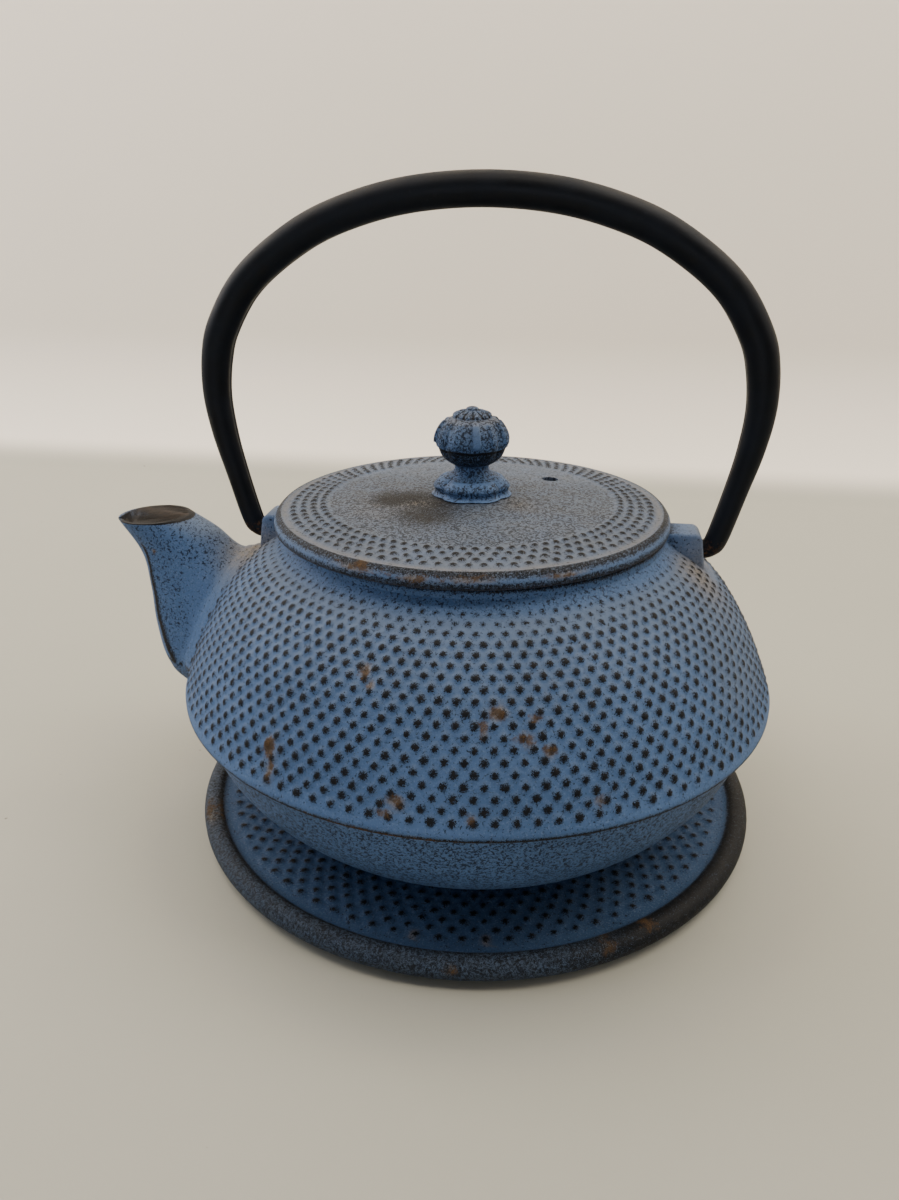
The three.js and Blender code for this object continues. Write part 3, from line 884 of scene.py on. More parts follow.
def pot_masks(pot, crease):
    p = local_points(pot)
    n = local_normals(pot)
    radius = from_axis(p)
    on_spout = ramp(-p[:, 0], 68, 76) * ramp(radius, 80, 84)
    on_spout = np.maximum(on_spout, ramp(-p[:, 0], 66, 72) * ramp(p[:, 2], 66, 74))
    bowl = ramp(p[:, 2], PARTING + 0.5, PARTING - 0.5)
    neck = ramp(p[:, 2], 81.5, 84.5) * ramp(radius, 60, 55)
    lug = ramp(np.abs(p[:, 1]), 5.6, 5.0) * ramp(np.abs(p[:, 0]), 47.5, 48.5)
    lug = lug * ramp(p[:, 2], 78, 80) * ramp(radius, 64, 62)
    spout_speck = on_spout * (0.5 + 0.16 * ramp(p[:, 2], 48, 60))
    add_mask(pot, "speck", strongest(np.full(len(p), 0.34), bowl * 0.86, neck * 0.62, spout_speck))

    mouth = on_spout * ramp(p[:, 2], 84.0, 84.5)
    from_seam = np.abs(p[:, 2] - (FLANGE_BOTTOM + 0.3))
    flange_edge = ramp(from_seam, 1.0, 0.2) * ramp(radius, 80.5, 81.5)
    rim = ramp(p[:, 2], COLLAR_TOP - 1.4, COLLAR_TOP - 0.4) * ramp(radius, 58, 56)
    lug_foot = lug * ramp(p[:, 2], 80.6, 79.0) * 0.4
    wear_and_shade = strongest(mouth, crease * 0.85, flange_edge * 0.8, rim * 0.62, lug_foot)
    add_mask(pot, "wear_and_shade", wear_and_shade)

    rust = spots(p, (
        (-120.1, 53.6, 1.7, 3.0, 1.0),
        (-118.9, 49.4, 1.3, 2.6, 0.8),
        (-105.0, 73.0, 1.8, 1.5, 0.72),
        (-103.0, 70.8, 1.3, 1.2, 0.62),
        (-79.5, 67.6, 2.4, 1.8, 0.78),
        (-82.0, 65.2, 1.4, 1.8, 0.66),
        (-71.2, 60.5, 1.9, 1.9, 0.76),
        (-75.0, 62.5, 3.4, 2.2, 0.58),
        (-73.0, 66.5, 2.2, 1.2, 0.55),
        (-95.7, 50.2, 2.6, 1.8, 0.64),
        (-97.2, 47.4, 2.0, 1.2, 0.6),
        (-63.8, 49.5, 1.8, 1.5, 0.62),
        (-84.0, 47.8, 1.6, 1.2, 0.58),
        (-98.0, FLANGE_BOTTOM - 0.2, 22.0, 1.1, 0.9),
        (-119.0, FLANGE_BOTTOM, 5.0, 0.9, 0.7),
        (150.0, 70.0, 2.2, 2.0, 0.7),
        (64.0, 58.0, 1.6, 2.6, 0.74),
        (100.0, 75.0, 2.0, 1.8, 0.64),
    ))
    spout_rust = balls(p, ((-97.5, -8.5, 78.0, 1.0, 0.85), (-91.5, -9.0, 76.5, 0.9, 0.85)))
    add_mask(pot, "rust", strongest(rust, spout_rust))
    dust = balls(p, (
        (-63.0, -3.0, 75.5, 9.0, 1.1),
        (59.0, -11.0, 78.0, 8.5, 1.0),
        (62.5, 6.0, 79.0, 6.0, 0.7),
        (-59.0, 0.0, 79.0, 6.0, 0.6),
    ))
    add_mask(pot, "dust", strongest(dust, spots(p, ((-118.9, 50.5, 1.6, 4.5, 0.5),))))
    # Up-facing paint is greyed: dust together with a painted sheen of the light from above.
    dust_and_painted_light = ramp(n[:, 2], 0.35, 0.9) * 0.75
    around = np.degrees(angles_of(p))
    # The right side is greyed as painted light, because it is the side that the light falls on; the
    # neck and bowl stay blue.
    right = ramp(around, -42, -26) * ramp(around, 70, 40) * ramp(p[:, 2], 44, 60) * 0.6
    add_mask(pot, "dust_and_painted_light", strongest(dust_and_painted_light, right) * (1 - neck) * (1 - bowl))


# ---- lid, knob and seat ----------------------------------------------------------------------

LID_NAILS = 88
LID_ROWS = [40.2, 42.85, 45.5, 48.15]  # radii of the rings of nails
LID_NAIL_HEIGHT = 0.72
LID_FINE = 6 * LID_NAILS
LID_PLAIN = LID_FINE // 4
VENT = (20.5, 19.3)
VENT_RADIUS = 2.4
CROWN = [[0, LID_TOP], [16, 94.9], [34, 93.9], [48, 92.35], [51.2, 92.1]]


def make_lid():
    crown = curve_through(CROWN)
    radii = np.concatenate([[8, 16, 24, 30, 35], np.arange(37.6, 50.6, 0.53)])[::-1]
    crown = np.column_stack([radii, np.interp(radii, crown[:, 0], crown[:, 1])])
    skirt = [[36.2, 90.0], [36.2, SKIRT_BOTTOM + 0.4], [36.6, SKIRT_BOTTOM], [38.8, SKIRT_BOTTOM]]
    skirt += [[39.2, SKIRT_BOTTOM + 0.4], [39.2, 88.6], [40.4, LID_SEAT + 0.35], [45, LID_SEAT]]
    edge = [[LID_RADIUS - 0.6, LID_SEAT], [LID_RADIUS - 0.1, LID_SEAT + 0.4]]
    edge += [[LID_RADIUS, LID_SEAT + 1.3], [LID_RADIUS - 0.25, LID_SEAT + 2.2]]
    edge += [[52.6, 91.5], [51.9, 92.2], [51.6, 92.35]]
    edge += [[51.3, 92.3], [50.9, 92.12]]
    outline = np.vstack([[[12, 90.8]], skirt, edge, crown])
    head = 1 + len(skirt) + len(edge)
    fine = radii > 37.7
    counts = np.array([LID_PLAIN] * head + [LID_FINE if f else LID_PLAIN for f in fine])
    points, faces = turned(outline, counts)
    rings = ring_indices(counts)
    nails = Nails(LID_ROWS, LID_ROWS, LID_NAILS, seed=11)
    angle = angles_of(points)
    radius = outline[rings, 0]
    on_crown = (rings >= head) & (counts[rings] == LID_FINE)
    dome, tip = nails.measure(angle, radius, radius)
    out = np.where(on_crown, dome * LID_NAIL_HEIGHT, 0)
    points = push_out(points, side_normals(outline), rings, out)
    tip = np.where(on_crown, tip, 0)
    lid = mesh_object("lid", points, faces, LID_OFFSET)
    angle = circle(32)
    vent = VENT_RADIUS * np.column_stack([np.cos(angle), np.sin(angle), np.zeros(32)])
    boolean(lid, "DIFFERENCE", rod("vent_tool", vent, [*VENT, 80], [*VENT, 99], LID_OFFSET))
    add_mask(lid, "tip", lookup(lid, [(points, tip)], LID_OFFSET))
    lid_masks(lid)
    return finish_piece(lid, LID_BLUE, "lid", ["lid_casting"], 50)


def lid_masks(lid):
    p = local_points(lid, LID_OFFSET)
    n = local_normals(lid)
    radius = from_axis(p)
    top = ramp(p[:, 2], 91.6, 92.0) * ramp(n[:, 2], 0.2, 0.6)
    under = ramp(n[:, 2], -0.3, -0.7)
    front = ramp(p[:, 1], 22.0, -6.0)
    speck = 0.36 + top * ramp(radius, 39.5, 37.0) * (0.44 + 0.66 * front)
    rim_band = ramp(radius, 50.9, 51.6) * ramp(p[:, 2], 90.0, 91.2)
    low_band = ramp(radius, 52.5, 53.2) * ramp(p[:, 2], 90.4, 89.6)
    add_mask(lid, "speck", strongest(speck, low_band, rim_band * 0.9))
    stain = balls(p, (
        (-19.0, -7.0, 94.0, 11.0, 1.0),
        (-7.0, -9.0, 94.0, 8.0, 1.0),
        (-9.0, -19.0, 94.0, 14.0, 0.9),
    ))
    add_mask(lid, "wear_and_shade", strongest(rim_band * 0.56, low_band * 0.5, stain * top * 0.74))
    add_mask(lid, "inside", under)
    rust = spots(p, (
        (-112.0, 91.0, 8.0, 0.9, 0.72),
        (-97.0, 90.6, 4.0, 1.2, 0.74),
        (-84.0, 91.0, 9.0, 0.9, 0.68),
        (-60.0, 90.8, 7.0, 0.9, 0.66),
        (-112.0, 91.8, 1.3, 2.2, 0.66),
        (70.0, 91.0, 8.0, 0.9, 0.66),
        (165.0, 91.0, 6.0, 0.9, 0.66),
    ))
    add_mask(lid, "rust", rust * ramp(radius, 50.0, 51.5))
    dust = balls(p, (
        (-11.5, -10.0, 95.0, 5.0, 0.95),
        (-22.0, -13.0, 94.0, 9.0, 0.35),
        (12.0, -8.0, 95.0, 5.0, 0.6),
    ))
    inside_rim = ramp(radius, 48.8, 50.4) * ramp(radius, 51.6, 50.6) * top
    add_mask(lid, "dust", strongest(dust, inside_rim * 0.4))
    # The lid's top is greyed: dust together with a painted sheen of the light from above. The rim bands
    # are greyed too.
    add_mask(lid, "dust_and_painted_light", strongest(top * 0.86, rim_band * 0.5, low_band * 0.4))


def petalled(points):
    """The knob's foot, drawn in between its petals."""
    angle = angles_of(points)
    radius = from_axis(points)
    gap = 1 - np.abs(np.cos(angle * PETALS / 2 + 0.4)) ** 0.7
    share = ramp(radius, 5.0, 9.5)
    changed = points.copy()
    changed[:, :2] *= (1 - 0.1 * share * gap)[:, None]
    changed[:, 2] -= 0.45 * gap * share * ramp(points[:, 2], SEAT_BOTTOM + 1.5, SEAT_BOTTOM + 3.5)
    return changed


def make_knob_seat():
    """A low flared foot with petals, from the lid's crown up to the neck of the knob."""
    outline = curve_through([
        [10.9, SEAT_BOTTOM], [10.2, SEAT_BOTTOM + 0.5], [10.0, SEAT_BOTTOM + 1.2],
        [10.4, SEAT_BOTTOM + 2.3], [10.1, SEAT_BOTTOM + 3.2], [9.2, SEAT_BOTTOM + 3.9],
        [7.9, SEAT_TOP + 0.2],
    ], 6)
    outline = np.vstack([[[2.3, SEAT_BOTTOM]], outline, [[2.3, SEAT_TOP + 0.2]]])
    points, faces = turned(outline, 144)
    points = petalled(points)
    height = points[:, 2]
    seat = mesh_object("lid_knob_seat_petals", points, faces, LID_OFFSET)
    side = ramp(height, SEAT_TOP, SEAT_TOP - 0.8) * ramp(height, SEAT_BOTTOM + 0.2, SEAT_BOTTOM + 0.9)
    add_mask(seat, "speck", 0.5 + 0.5 * side)
    add_mask(seat, "wear_and_shade", side * 0.3)
    add_mask(seat, "dust", spot(points, -165, SEAT_BOTTOM + 1.4, 5.0, 1.6) * 0.5)
    return finish_piece(seat, LID_BLUE, "lid", ["lid_knob_seat"], 60)


RIBS = 12
FIRST_RIB = math.radians(-76)  # the rib that faces the photograph, with cleaner paint
PETALS = 7
EQUATOR = 108.4  # the crease between the ribbed ball and the plain bowl below it
KNOB = [
    [7.7, KNOB_BOTTOM - 0.02], [6.3, 100.45], [5.1, 101.2], [4.6, 102.2], [4.8, 103.2],
    [6.5, 104.2], [8.2, 105.8], [9.2, EQUATOR - 0.15],
]
BALL = [
    [9.6, EQUATOR], [9.7, 109.4], [9.4, 111.3], [8.4, 113.3], [6.8, 115.0], [5.6, 115.65],
]
ROSETTE = [
    [5.35, 115.85], [5.2, 116.5], [4.2, 117.15], [2.4, 117.6], [1.75, 117.65], [1.6, 118.1],
    [0.9, KNOB_TOP - 0.05], [0.3, KNOB_TOP],
]


def make_knob():
    lower = even_points(curve_through(KNOB), 0.45)
    upper = even_points(curve_through(BALL), 0.26)
    cap = even_points(curve_through(ROSETTE), 0.22)
    outline = np.vstack([[[2.3, KNOB_BOTTOM]], lower, upper, cap])
    points, faces = turned(outline, 192)
    rings = ring_indices(np.full(len(outline), 192))
    angle = angles_of(points)
    radius = outline[rings, 0]
    height = outline[rings, 1]

    pitch = 2 * math.pi / RIBS
    offset = (angle - FIRST_RIB) / pitch
    sideways = np.abs(offset - np.round(offset)) * pitch * radius
    half = 0.25 * pitch * radius
    foot = EQUATOR + 1.6
    from_foot = np.clip(foot - height, 0, None)
    away = np.hypot(sideways, from_foot * 1.4) / np.maximum(half, 0.3)
    on_ball = ramp(height, EQUATOR - 0.4, EQUATOR) * ramp(height, 115.3, 114.4)
    rib = ramp(away, 1.0, 0.6) * on_ball

    petal = np.abs(np.cos(angle * RIBS / 2 + 0.6))
    on_cap = ramp(height, 115.7, 116.0) * ramp(radius, 1.7, 2.4)
    out = rib * 0.7 - on_cap * (1 - petal) * 0.6
    points = push_out(points, side_normals(outline), rings, out)

    knob = mesh_object("lid_knob_ball", petalled(points), faces, LID_OFFSET)
    # Below the crease the specks are at full strength: the bowl's real speckle, which also darkens it
    # as painted shade under the ball.
    below = ramp(height, EQUATOR - 0.2, EQUATOR - 1.0)
    speck = ramp(height, EQUATOR - 0.6, EQUATOR + 0.2) + below
    add_mask(knob, "speck", speck * (1 - 0.75 * rib * (np.round(offset) == 0)))
    groove = on_cap * ramp(petal, 0.75, 0.3)
    # Painted shade: the crease under the ball's overhang and the bowl below it go to dark bare iron
    # through the wear mask.
    crease = ramp(np.abs(height - EQUATOR + 0.35), 0.7, 0.1)
    bowl = below * ramp(height, 102.6, 104.0)
    add_mask(knob, "wear_and_shade", strongest(groove * 0.66, crease * 0.85, bowl * 0.56))
    # The knob's upper half is greyed: dust together with a painted sheen of the light from above.
    add_mask(knob, "dust_and_painted_light", ramp(height, 108, 116) * 0.5)
    add_mask(knob, "dust", ramp(height, 114.2, 115.2) * ramp(height, 116.2, 115.6) * 0.35)
    return finish_piece(knob, LID_BLUE, "lid", ["lid_knob"], 55)


def make_knob_fixings():
    low, high = cad_box("lid_knob_washer")
    washer_radius = (high[1] - low[1]) / 2
    outline = [
        [2.3, low[2]], [washer_radius - 0.2, low[2]], [washer_radius, low[2] + 0.15],
        [washer_radius, high[2] - 0.1], [washer_radius - 0.1, high[2]], [2.3, high[2]],
    ]
    points, faces = turned(outline, 64, closed=True)
    washer = mesh_object("lid_knob_washer_disc", points, faces, LID_OFFSET)
    finish_piece(washer, ZINC, "lid", ["lid_knob_washer"])

    bottom = cad_box("lid_knob_screw")[0][2]
    top = low[2] - 0.05
    dome = [[0.6, bottom], [2.4, bottom + 0.25], [3.6, bottom + 0.9], [4.0, top - 0.3]]
    shank = [[4.0, top], [1.9, top], [1.9, KNOB_BOTTOM + 3]]
    points, faces = turned(np.vstack([curve_through(dome, 6), shank]), 64)
    screw = mesh_object("lid_knob_screw_head", points, faces, LID_OFFSET)
    slot = np.array([[-6, -0.45, 0], [6, -0.45, 0], [6, 0.45, 0], [-6, 0.45, 0]])
    slot_tool = rod("slot_tool", slot, [0, 0, bottom - 1], [0, 0, bottom + 0.9], LID_OFFSET)
    boolean(screw, "DIFFERENCE", slot_tool)
    finish_piece(screw, ZINC, "lid", ["lid_knob_screw"])


# ---- trivet ----------------------------------------------------------------------------------

TRIVET_NAILS = 80
TRIVET_PITCH = 2.85
TRIVET_OUTER_ROW = 71.5
TRIVET_ROWS = 14
TRIVET_FINE = 6 * TRIVET_NAILS
TRIVET_PLAIN = TRIVET_FINE // 4
TRIVET_NAIL_HEIGHT = 0.6
DISH = 5.7  # height of the dish


def make_trivet():
    rows = TRIVET_OUTER_ROW - TRIVET_PITCH * np.arange(TRIVET_ROWS)
    underside = [[20, TRIVET_UNDERSIDE], [60, TRIVET_UNDERSIDE], [77.6, TRIVET_UNDERSIDE]]
    rim = even_points(curve_through([
        [78.6, TRIVET_UNDERSIDE + 0.05], [80.6, 2.2], [81.6, 4.0], [81.2, 5.9], [79.6, 7.15],
        [77.9, TRIVET_TOP], [76.8, 7.1], [76.1, 6.3], [75.2, DISH + 0.08], [74.0, DISH],
    ]), 0.7)
    radii = np.arange(TRIVET_OUTER_ROW + TRIVET_PITCH / 2, rows[-1] - 2.2, -TRIVET_PITCH / ROW_STEPS)
    dish = np.column_stack([radii, np.full(len(radii), DISH)])
    middle = [[30.0, DISH], [20.0, DISH]]
    outline = np.vstack([underside, rim, dish, middle])
    head = len(underside) + len(rim)
    counts = np.array([TRIVET_PLAIN] * head + [TRIVET_FINE] * len(dish) + [TRIVET_PLAIN] * 2)
    points, faces = turned(outline, counts)
    rings = ring_indices(counts)
    nails = Nails(rows, rows, TRIVET_NAILS, seed=23, largest=1.8)
    angle = angles_of(points)
    dome, tip = nails.measure(angle, outline[rings, 0], outline[rings, 0])
    on_dish = (rings >= head) & (counts[rings] == TRIVET_FINE)
    beyond_pot = ramp(outline[rings, 0], 44.5, 50.0)
    out = np.where(on_dish, dome * TRIVET_NAIL_HEIGHT * (0.35 + 0.65 * beyond_pot), 0)
    points = push_out(points, side_normals(outline), rings, out)
    trivet = mesh_object("trivet", points, faces)
    add_mask(trivet, "tip", np.where(on_dish, tip * 0.9, 0))
    radius = outline[rings, 0]
    on_rim = ramp(radius, 75.6, 76.6)
    around = np.degrees(angle)
    brown = ramp(around, -75, -45) * ramp(around, 60, 30)
    inner_edge = ramp(radius, 75.3, 76.2) * ramp(radius, 77.6, 76.9)
    crest = on_rim * ramp(points[:, 2], 6.0, 7.2) * ramp(radius, 79.4, 78.0)
    add_mask(trivet, "speck", 0.36 + on_rim * 0.5)
    add_mask(trivet, "wear_and_shade", strongest(crest * 0.5, on_rim * (0.46 + 0.24 * brown), inner_edge * 0.6))
    rust = spots(points, (
        (-86.3, 5.6, 1.6, 1.6, 0.85),
        (-60.0, 6.4, 1.8, 1.4, 0.66),
        (-51.0, 7.2, 2.0, 1.2, 0.66),
        (-155.0, 6.8, 8.0, 1.0, 0.6),
        (80.0, 6.0, 3.0, 1.5, 0.8),
    ))
    add_mask(trivet, "rust", rust * on_rim)
    dust = spots(points, ((-95.0, 6.0, 1.0, 3.0, 1.0), (-81.0, 6.0, 1.0, 3.0, 1.0)))
    dish_edge = ramp(radius, 69.0, 71.0) * ramp(radius, 73.8, 72.6)
    add_mask(trivet, "dust", dust * dish_edge * 0.8)
    add_mask(trivet, "dust_and_painted_light", on_rim * 0.75)
    return finish_piece(trivet, TRIVET_BLUE, "trivet", ["trivet_casting"], 50)


def make_foot_pads():
    for k in range(3):
        node = f"trivet_foot_pad_{k + 1}"
        low, high = cad_box(node)
        centre = (low + high) / 2
        radius = (high[1] - low[1]) / 2
        top = TRIVET_UNDERSIDE - 0.02
        foot = [[radius - 1.1, 0.0], [radius - 0.4, 0.12], [radius, 0.6], [radius - 0.05, top]]
        outline = np.vstack([[[2.0, 0.35], [2.6, 0.0]], curve_through(foot, 5), [[2.0, top]]])
        points, faces = turned(outline, 48)
        points += [centre[0] - POT_AXIS, centre[1], low[2]]
        pad = mesh_object(f"foot_pad_{k + 1}", points, faces)
        finish_piece(pad, RUBBER, "trivet", [node])


# ---- handle ----------------------------------------------------------------------------------

HANDLE_SIDES = 40

# Half of the handle, from a hook to the top: x, z and the tube's radius.
HANDLE = np.array([
    [54.4, 82, 2.5], [60.4, 82, 2.5], [63, 82.9, 2.7], [64.6, 85.8, 2.95], [67.8, 98.6, 3.1],
    [70.2, 109.5, 3.5], [71.3, 120, 3.85], [70.3, 130, 4.15], [67.6, 138, 4.25],
    [60.6, 148.4, 4.25], [50, 157, 4.25], [37.6, 163.6, 4.25], [20, 168.6, 4.25], [0, 170.3, 4.25],
])


def rolled_section(angle, share):
    """A round section with a shallow closed seam on the inner side of the bend, except at the hooks."""
    seam = np.minimum(angle, 2 * math.pi - angle)
    depth = 0.11 * float(ramp(min(share, 1 - share), 0.05, 0.09))
    dent = depth * np.exp(-((seam / 0.13) ** 2))
    return (1 - dent) * np.cos(angle), (1 - dent) * np.sin(angle)


def make_handle():
    left = HANDLE[:-1][::-1] * [-1, 1, 1]
    line = curve_through(np.vstack([HANDLE, left]), 10)
    centre = in_plane(line[:, 0], line[:, 1])
    along = np.gradient(centre, axis=0)
    along /= np.linalg.norm(along, axis=1)[:, None]
    inward = in_plane(-along[:, 2], along[:, 0])
    radius = line[:, 2][:, None]
    side = np.zeros_like(inward)
    side[:, 1] = -1
    points, faces = swept(centre, inward * radius, side * radius, HANDLE_SIDES, rolled_section)
    handle = mesh_object("handle", points, faces)
    add_mask(handle, "wear_and_shade", ramp(points[:, 2], 88.5, 83.0) * 0.46)
    return finish_piece(handle, HANDLE_BLACK, "handle", ["handle_bail"], 60)


# ---- infuser ---------------------------------------------------------------------------------

HOLE_PITCH = 2.0
HOLE_RADIUS = 0.58
SHEET = 0.5  # thickness


def perforated(columns, rows, place, reach=None):
    """A sheet with staggered hexagonal holes: both its faces, the holes' walls and its edges.

    place(u, v, side) gives the position of sheet coordinates in cells, on side 0 (in) or 1 (out).
    Where reach is given, cells that come further than it from the axis are left out."""
    corners = np.radians(60 * np.arange(6) + 30)
    cell = np.column_stack([np.cos(corners), np.sin(corners)]) / math.sqrt(3)
    hole = cell * (HOLE_RADIUS / HOLE_PITCH * math.sqrt(3))
    points = []
    faces = []
    borders = {}
    for j in range(rows):
        for i in range(columns):
            centre = np.array([i + 0.5 * (j % 2), j * math.sqrt(3) / 2])
            added = []
            for side in (0, 1):
                added += [place(*(centre + c), side) for c in cell]
                added += [place(*(centre + h), side) for h in hole]
            if reach and max(math.hypot(p[0], p[1]) for p in added) > reach:
                continue
            start = len(points)
            points += added
            keys = [tuple(round(c, 3) for c in p) for p in added[:6]]
            for k in range(6):
                m = (k + 1) % 6
                faces.append((start + 12 + k, start + 12 + m, start + 18 + m, start + 18 + k))
                faces.append((start + m, start + k, start + 6 + k, start + 6 + m))
                faces.append((start + 6 + m, start + 6 + k, start + 18 + k, start + 18 + m))
                border = (start + k, start + m, start + 12 + m, start + 12 + k)
                borders.setdefault(frozenset((keys[k], keys[m])), []).append(border)
    faces += [found[0] for found in borders.values() if len(found) == 1]
    return np.array(points), faces


def welded(sheet):
    """Joins the cells of a perforated sheet into one closed skin."""
    mesh = bmesh.new()
    mesh.from_mesh(sheet.data)
    bmesh.ops.remove_doubles(mesh, verts=mesh.verts, dist=0.002 * MM)
    bmesh.ops.recalc_face_normals(mesh, faces=mesh.faces)
    mesh.to_mesh(sheet.data)
    mesh.free()


def steel_ring(name, outline, count, nodes=()):
    """A closed ring of stainless sheet round the pot's axis."""
    points, faces = turned(outline, count, closed=True)
    made = mesh_object(name, points, faces)
    finish_piece(made, STEEL, "infuser", nodes, 50)


def rectangle(inner, outer, low, high):
    return [[inner, low], [outer, low], [outer, high], [inner, high]]


def make_sleeve():
    columns = round(2 * math.pi * SLEEVE_RADIUS / HOLE_PITCH)
    plain = 2.4  # the band without holes at each edge
    rise = HOLE_PITCH * math.sqrt(3) / 2
    rows = int((SLEEVE_TOP - SLEEVE_BOTTOM - 2 * plain) / rise)
    bottom = (SLEEVE_TOP + SLEEVE_BOTTOM - (rows - 1) * rise) / 2

    def place(u, v, side):
        angle = 2 * math.pi * u / columns
        radius = SLEEVE_RADIUS - SHEET * (1 - side)
        return (radius * math.cos(angle), radius * math.sin(angle), bottom + v * HOLE_PITCH)

    points, faces = perforated(columns, rows, place)
    sleeve = mesh_object("infuser_sleeve_perforated", points, faces)
    welded(sleeve)
    finish_piece(sleeve, STEEL, "infuser", ["infuser_sleeve"], 50)
    top = bottom + (rows - 1) * rise + rise / 2
    for name, low, high in (("lower", SLEEVE_BOTTOM, bottom - rise / 2), ("upper", top, SLEEVE_TOP)):
        outline = rectangle(SLEEVE_RADIUS - SHEET - 0.02, SLEEVE_RADIUS + 0.02, low, high)
        steel_ring(f"infuser_sleeve_{name}_edge", outline, 144)


def make_base_mesh():
    low, high = cad_box("infuser_base_mesh")
    reach = (high[1] - low[1]) / 2
    count = int(2 * reach / HOLE_PITCH)
    rows = int(2 * reach / (HOLE_PITCH * math.sqrt(3) / 2))

    def place(u, v, side):
        x = (u - count / 2) * HOLE_PITCH
        y = (v - rows * math.sqrt(3) / 4) * HOLE_PITCH
        return (x, y, low[2] + (high[2] - low[2]) * side)

    points, faces = perforated(count, rows, place, reach - 0.6)
    base = mesh_object("infuser_base_perforated", points, faces)
    welded(base)
    finish_piece(base, STEEL, "infuser", ["infuser_base_mesh"], 50)
    edge = rectangle(reach - 2.6, reach - 0.1, low[2] - 0.02, high[2] + 0.02)
    steel_ring("infuser_base_edge", edge, 144)


def make_infuser_rings():
    low, high = cad_box("infuser_rim")
    reach = (high[1] - low[1]) / 2
    inner = SLEEVE_RADIUS + 0.3
    wall = 0.8
    lip = high[2]
    outline = [
        [inner, low[2]], [inner + wall, low[2]], [inner + wall, lip - wall - 0.5],
        [inner + wall + 0.15, lip - wall - 0.15], [inner + wall + 0.5, lip - wall],
        [reach - 0.5, lip - wall], [reach - 0.1, lip - wall + 0.15], [reach, lip - wall / 2],
        [reach - 0.15, lip - 0.1], [reach - 0.5, lip], [inner + 0.9, lip],
        [inner + 0.3, lip - 0.2], [inner, lip - 0.8],
    ]
    steel_ring("infuser_rim_ring", outline, 168, ["infuser_rim"])

    low, high = cad_box("infuser_base_ring")
    wall = 0.6
    inner = SLEEVE_RADIUS + 0.3
    outline = [
        [36.0, low[2]], [inner, low[2]], [inner + wall * 0.8, low[2] + 0.15],
        [inner + wall, low[2] + 0.6], [inner + wall, high[2] - 0.2], [inner + wall / 2, high[2]],
        [inner, high[2] - 0.2], [inner, low[2] + wall], [36.0, low[2] + wall],
    ]
    steel_ring("infuser_base_ring_pressed", outline, 168, ["infuser_base_ring"])


def make_seam_strip():
    """A narrow strip over the sleeve's joint, with a row of spot welds."""
    low, high = cad_box("infuser_seam_strip")
    low = low - [POT_AXIS, 0, 0]
    high = high - [POT_AXIS, 0, 0]
    across = 9  # points from side to side
    up = 96
    y = np.linspace(low[1], high[1], across)
    z = np.linspace(low[2], high[2], up)
    weld = (high[2] - low[2]) / 6
    outer = []
    for height in z:
        for width in y:
            nearest = (height - low[2]) % weld - weld / 2
            dent = 0.16 * math.exp(-((width / 0.9) ** 2) - (nearest / 0.9) ** 2)
            outer.append([high[0] - dent, width, height])
    inner = [[low[0], p[1], p[2]] for p in outer]
    points = np.array(outer + inner)
    size = across * up
    faces = []
    for j in range(up - 1):
        for i in range(across - 1):
            a = j * across + i
            faces.append((a, a + 1, a + across + 1, a + across))
            faces.append((a + size, a + across + size, a + across + 1 + size, a + 1 + size))
    border = list(range(across)) + [across - 1 + across * j for j in range(1, up)]
    border += [across * up - 1 - i for i in range(1, across)]
    border += [across * (up - 1 - j) for j in range(1, up)]
    for a, b in zip(border, border[1:]):
        faces.append((b, a, a + size, b + size))
    strip = mesh_object("infuser_seam_welded", points, faces)
    finish_piece(strip, STEEL, "infuser", ["infuser_seam_strip"], 50)


# ---- camera, light and stage -----------------------------------------------------------------


def make_camera():
    """The photograph's standpoint: close, a little to the right, looking down by 23.5 degrees."""
    data = bpy.data.cameras.new("camera")
    data.sensor_fit = "VERTICAL"
    data.sensor_height = 36
    data.lens = 26.775
    camera = add_object("camera", data)
    look = Vector((-0.13157, 0.90754, -0.39883)).normalized()
    right = look.cross(Vector((0, 0, 1))).normalized()
    up = right.cross(look)
    turn = Matrix((right, up, -look)).transposed().to_4x4()
    stand = Vector((POT_AXIS * MM + 0.02612, -0.23323, 0.16525))
    camera.matrix_world = Matrix.Translation(stand) @ turn
    bpy.context.scene.camera = camera


def area_light(name, place, target, size, power, tint):
    data = bpy.data.lights.new(name, "AREA")
    data.shape = "RECTANGLE"
    data.size, data.size_y = size
    data.energy = power
    data.color = colour(tint)[:3]
    light = add_object(name, data)
    light.location = place
    aim = Vector(target) - Vector(place)
    light.rotation_euler = aim.to_track_quat("-Z", "Y").to_euler()


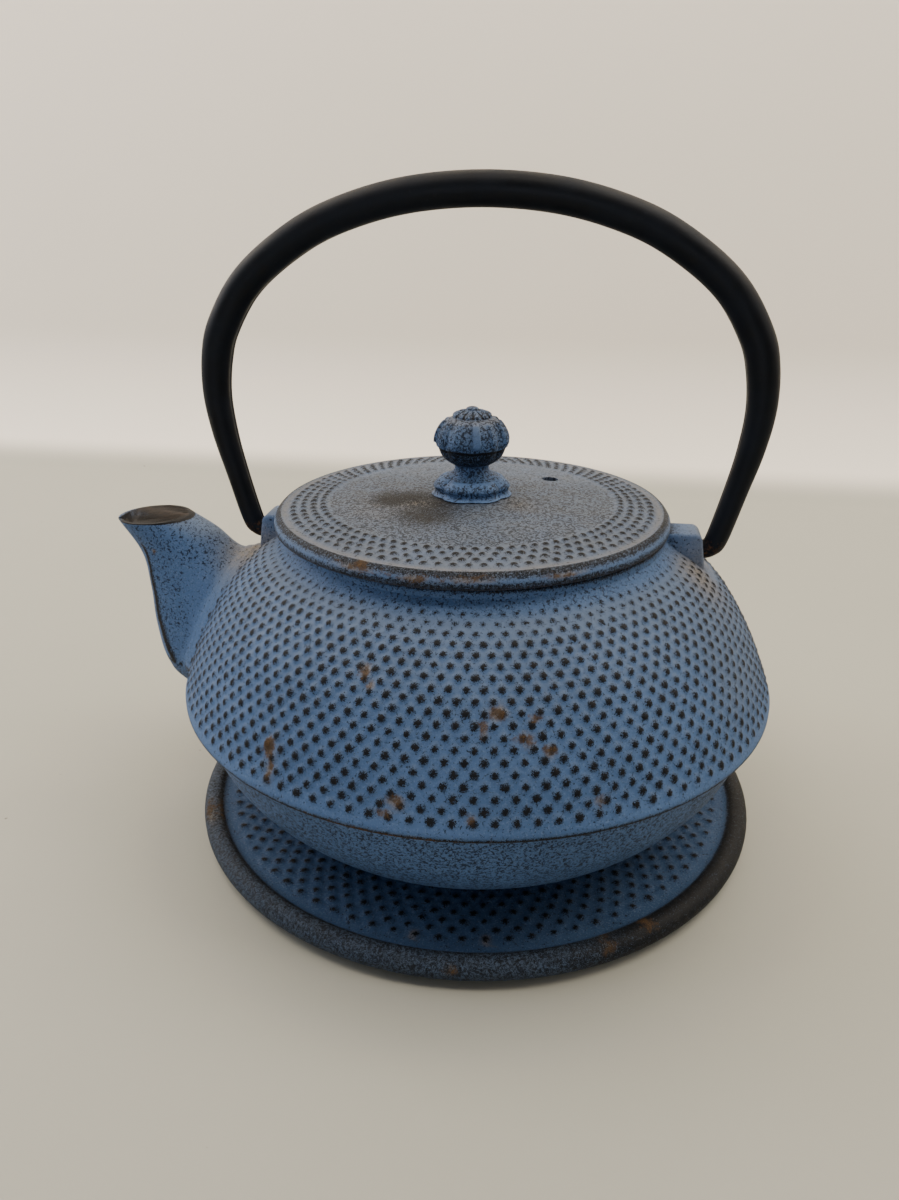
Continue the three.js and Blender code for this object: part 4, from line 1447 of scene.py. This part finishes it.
def make_light():
    """A bright soft room: most light comes from above and behind, so the front is in open shade."""
    centre = (POT_AXIS * MM, 0, 0.07)
    area_light("window", (-0.55, 0.31, 0.70), centre, (0.8, 0.9), 8.5, "fff4e6")
    area_light("ceiling", (0.45, 0.28, 0.90), centre, (0.9, 0.7), 9.0, "fff8ee")
    area_light("wall_wash", (0.15, -0.15, 1.00), (0.15, 0.4, 0.85), (1.8, 0.5), 15.0, "fff3e4")
    area_light("left", (-1.0, 0.0, 0.50), centre, (0.7, 0.7), 4.4, "eef2ff")
    area_light("right", (1.0, 0.0, 0.50), centre, (0.7, 0.7), 2.0, "fff8f0")
    area_light("fill", (-0.10, -1.10, 0.22), centre, (0.8, 0.4), 2.6, "dce8ff")
    world = bpy.data.worlds.new("room")
    world.use_nodes = True
    background = world.node_tree.nodes["Background"]
    background.inputs["Color"].default_value = colour("e4e4e2")
    background.inputs["Strength"].default_value = 0.12
    bpy.context.scene.world = world


def stage_piece(name, points, faces, finish):
    mesh = bpy.data.meshes.new(name)
    mesh.from_pydata(points, [], faces)
    mesh.materials.append(finish)
    made = add_object(name, mesh)
    made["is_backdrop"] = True
    return mesh


def make_stage():
    """A tabletop and a wall behind it, joined by a soft cove, and the room's other walls."""
    profile = [(-ROOM, 0.0), (TABLE_EDGE, 0.0)]
    for k in range(1, 16):
        a = math.pi / 2 * k / 16
        profile.append((TABLE_EDGE + COVE * math.sin(a), COVE - COVE * math.cos(a)))
    profile += [(TABLE_EDGE + COVE, COVE), (TABLE_EDGE + COVE, ROOM_HEIGHT)]
    points = [(x, y - WALL_SLANT * x, z) for y, z in profile for x in (-ROOM, ROOM)]
    faces = [(2 * i, 2 * i + 1, 2 * i + 3, 2 * i + 2) for i in range(len(profile) - 1)]
    mesh = stage_piece("table_and_wall", points, faces, stage_finish())
    mesh.polygons.foreach_set("use_smooth", np.ones(len(mesh.polygons), bool))

    corners = [(-ROOM, 0.5), (-ROOM, -ROOM), (ROOM, -ROOM), (ROOM, 0.5)]
    points = [(x, y, z) for x, y in corners for z in (0.0, ROOM_HEIGHT)]
    faces = [(2 * i, 2 * i + 2, 2 * i + 3, 2 * i + 1) for i in range(3)]
    stage_piece("other_walls", points, faces, far_walls_finish())


def write_sizes():
    def plain(box):
        return [[float(v) for v in corner] for corner in box]

    {"cad": plain(cad_bounds), "visual": plain(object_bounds())}


make_camera()
make_light()
make_stage()
make_trivet()
make_foot_pads()
make_pot()
make_handle()
make_sleeve()
make_base_mesh()
make_infuser_rings()
make_seam_strip()
make_lid()
make_knob_seat()
make_knob()
make_knob_fixings()
write_sizes()
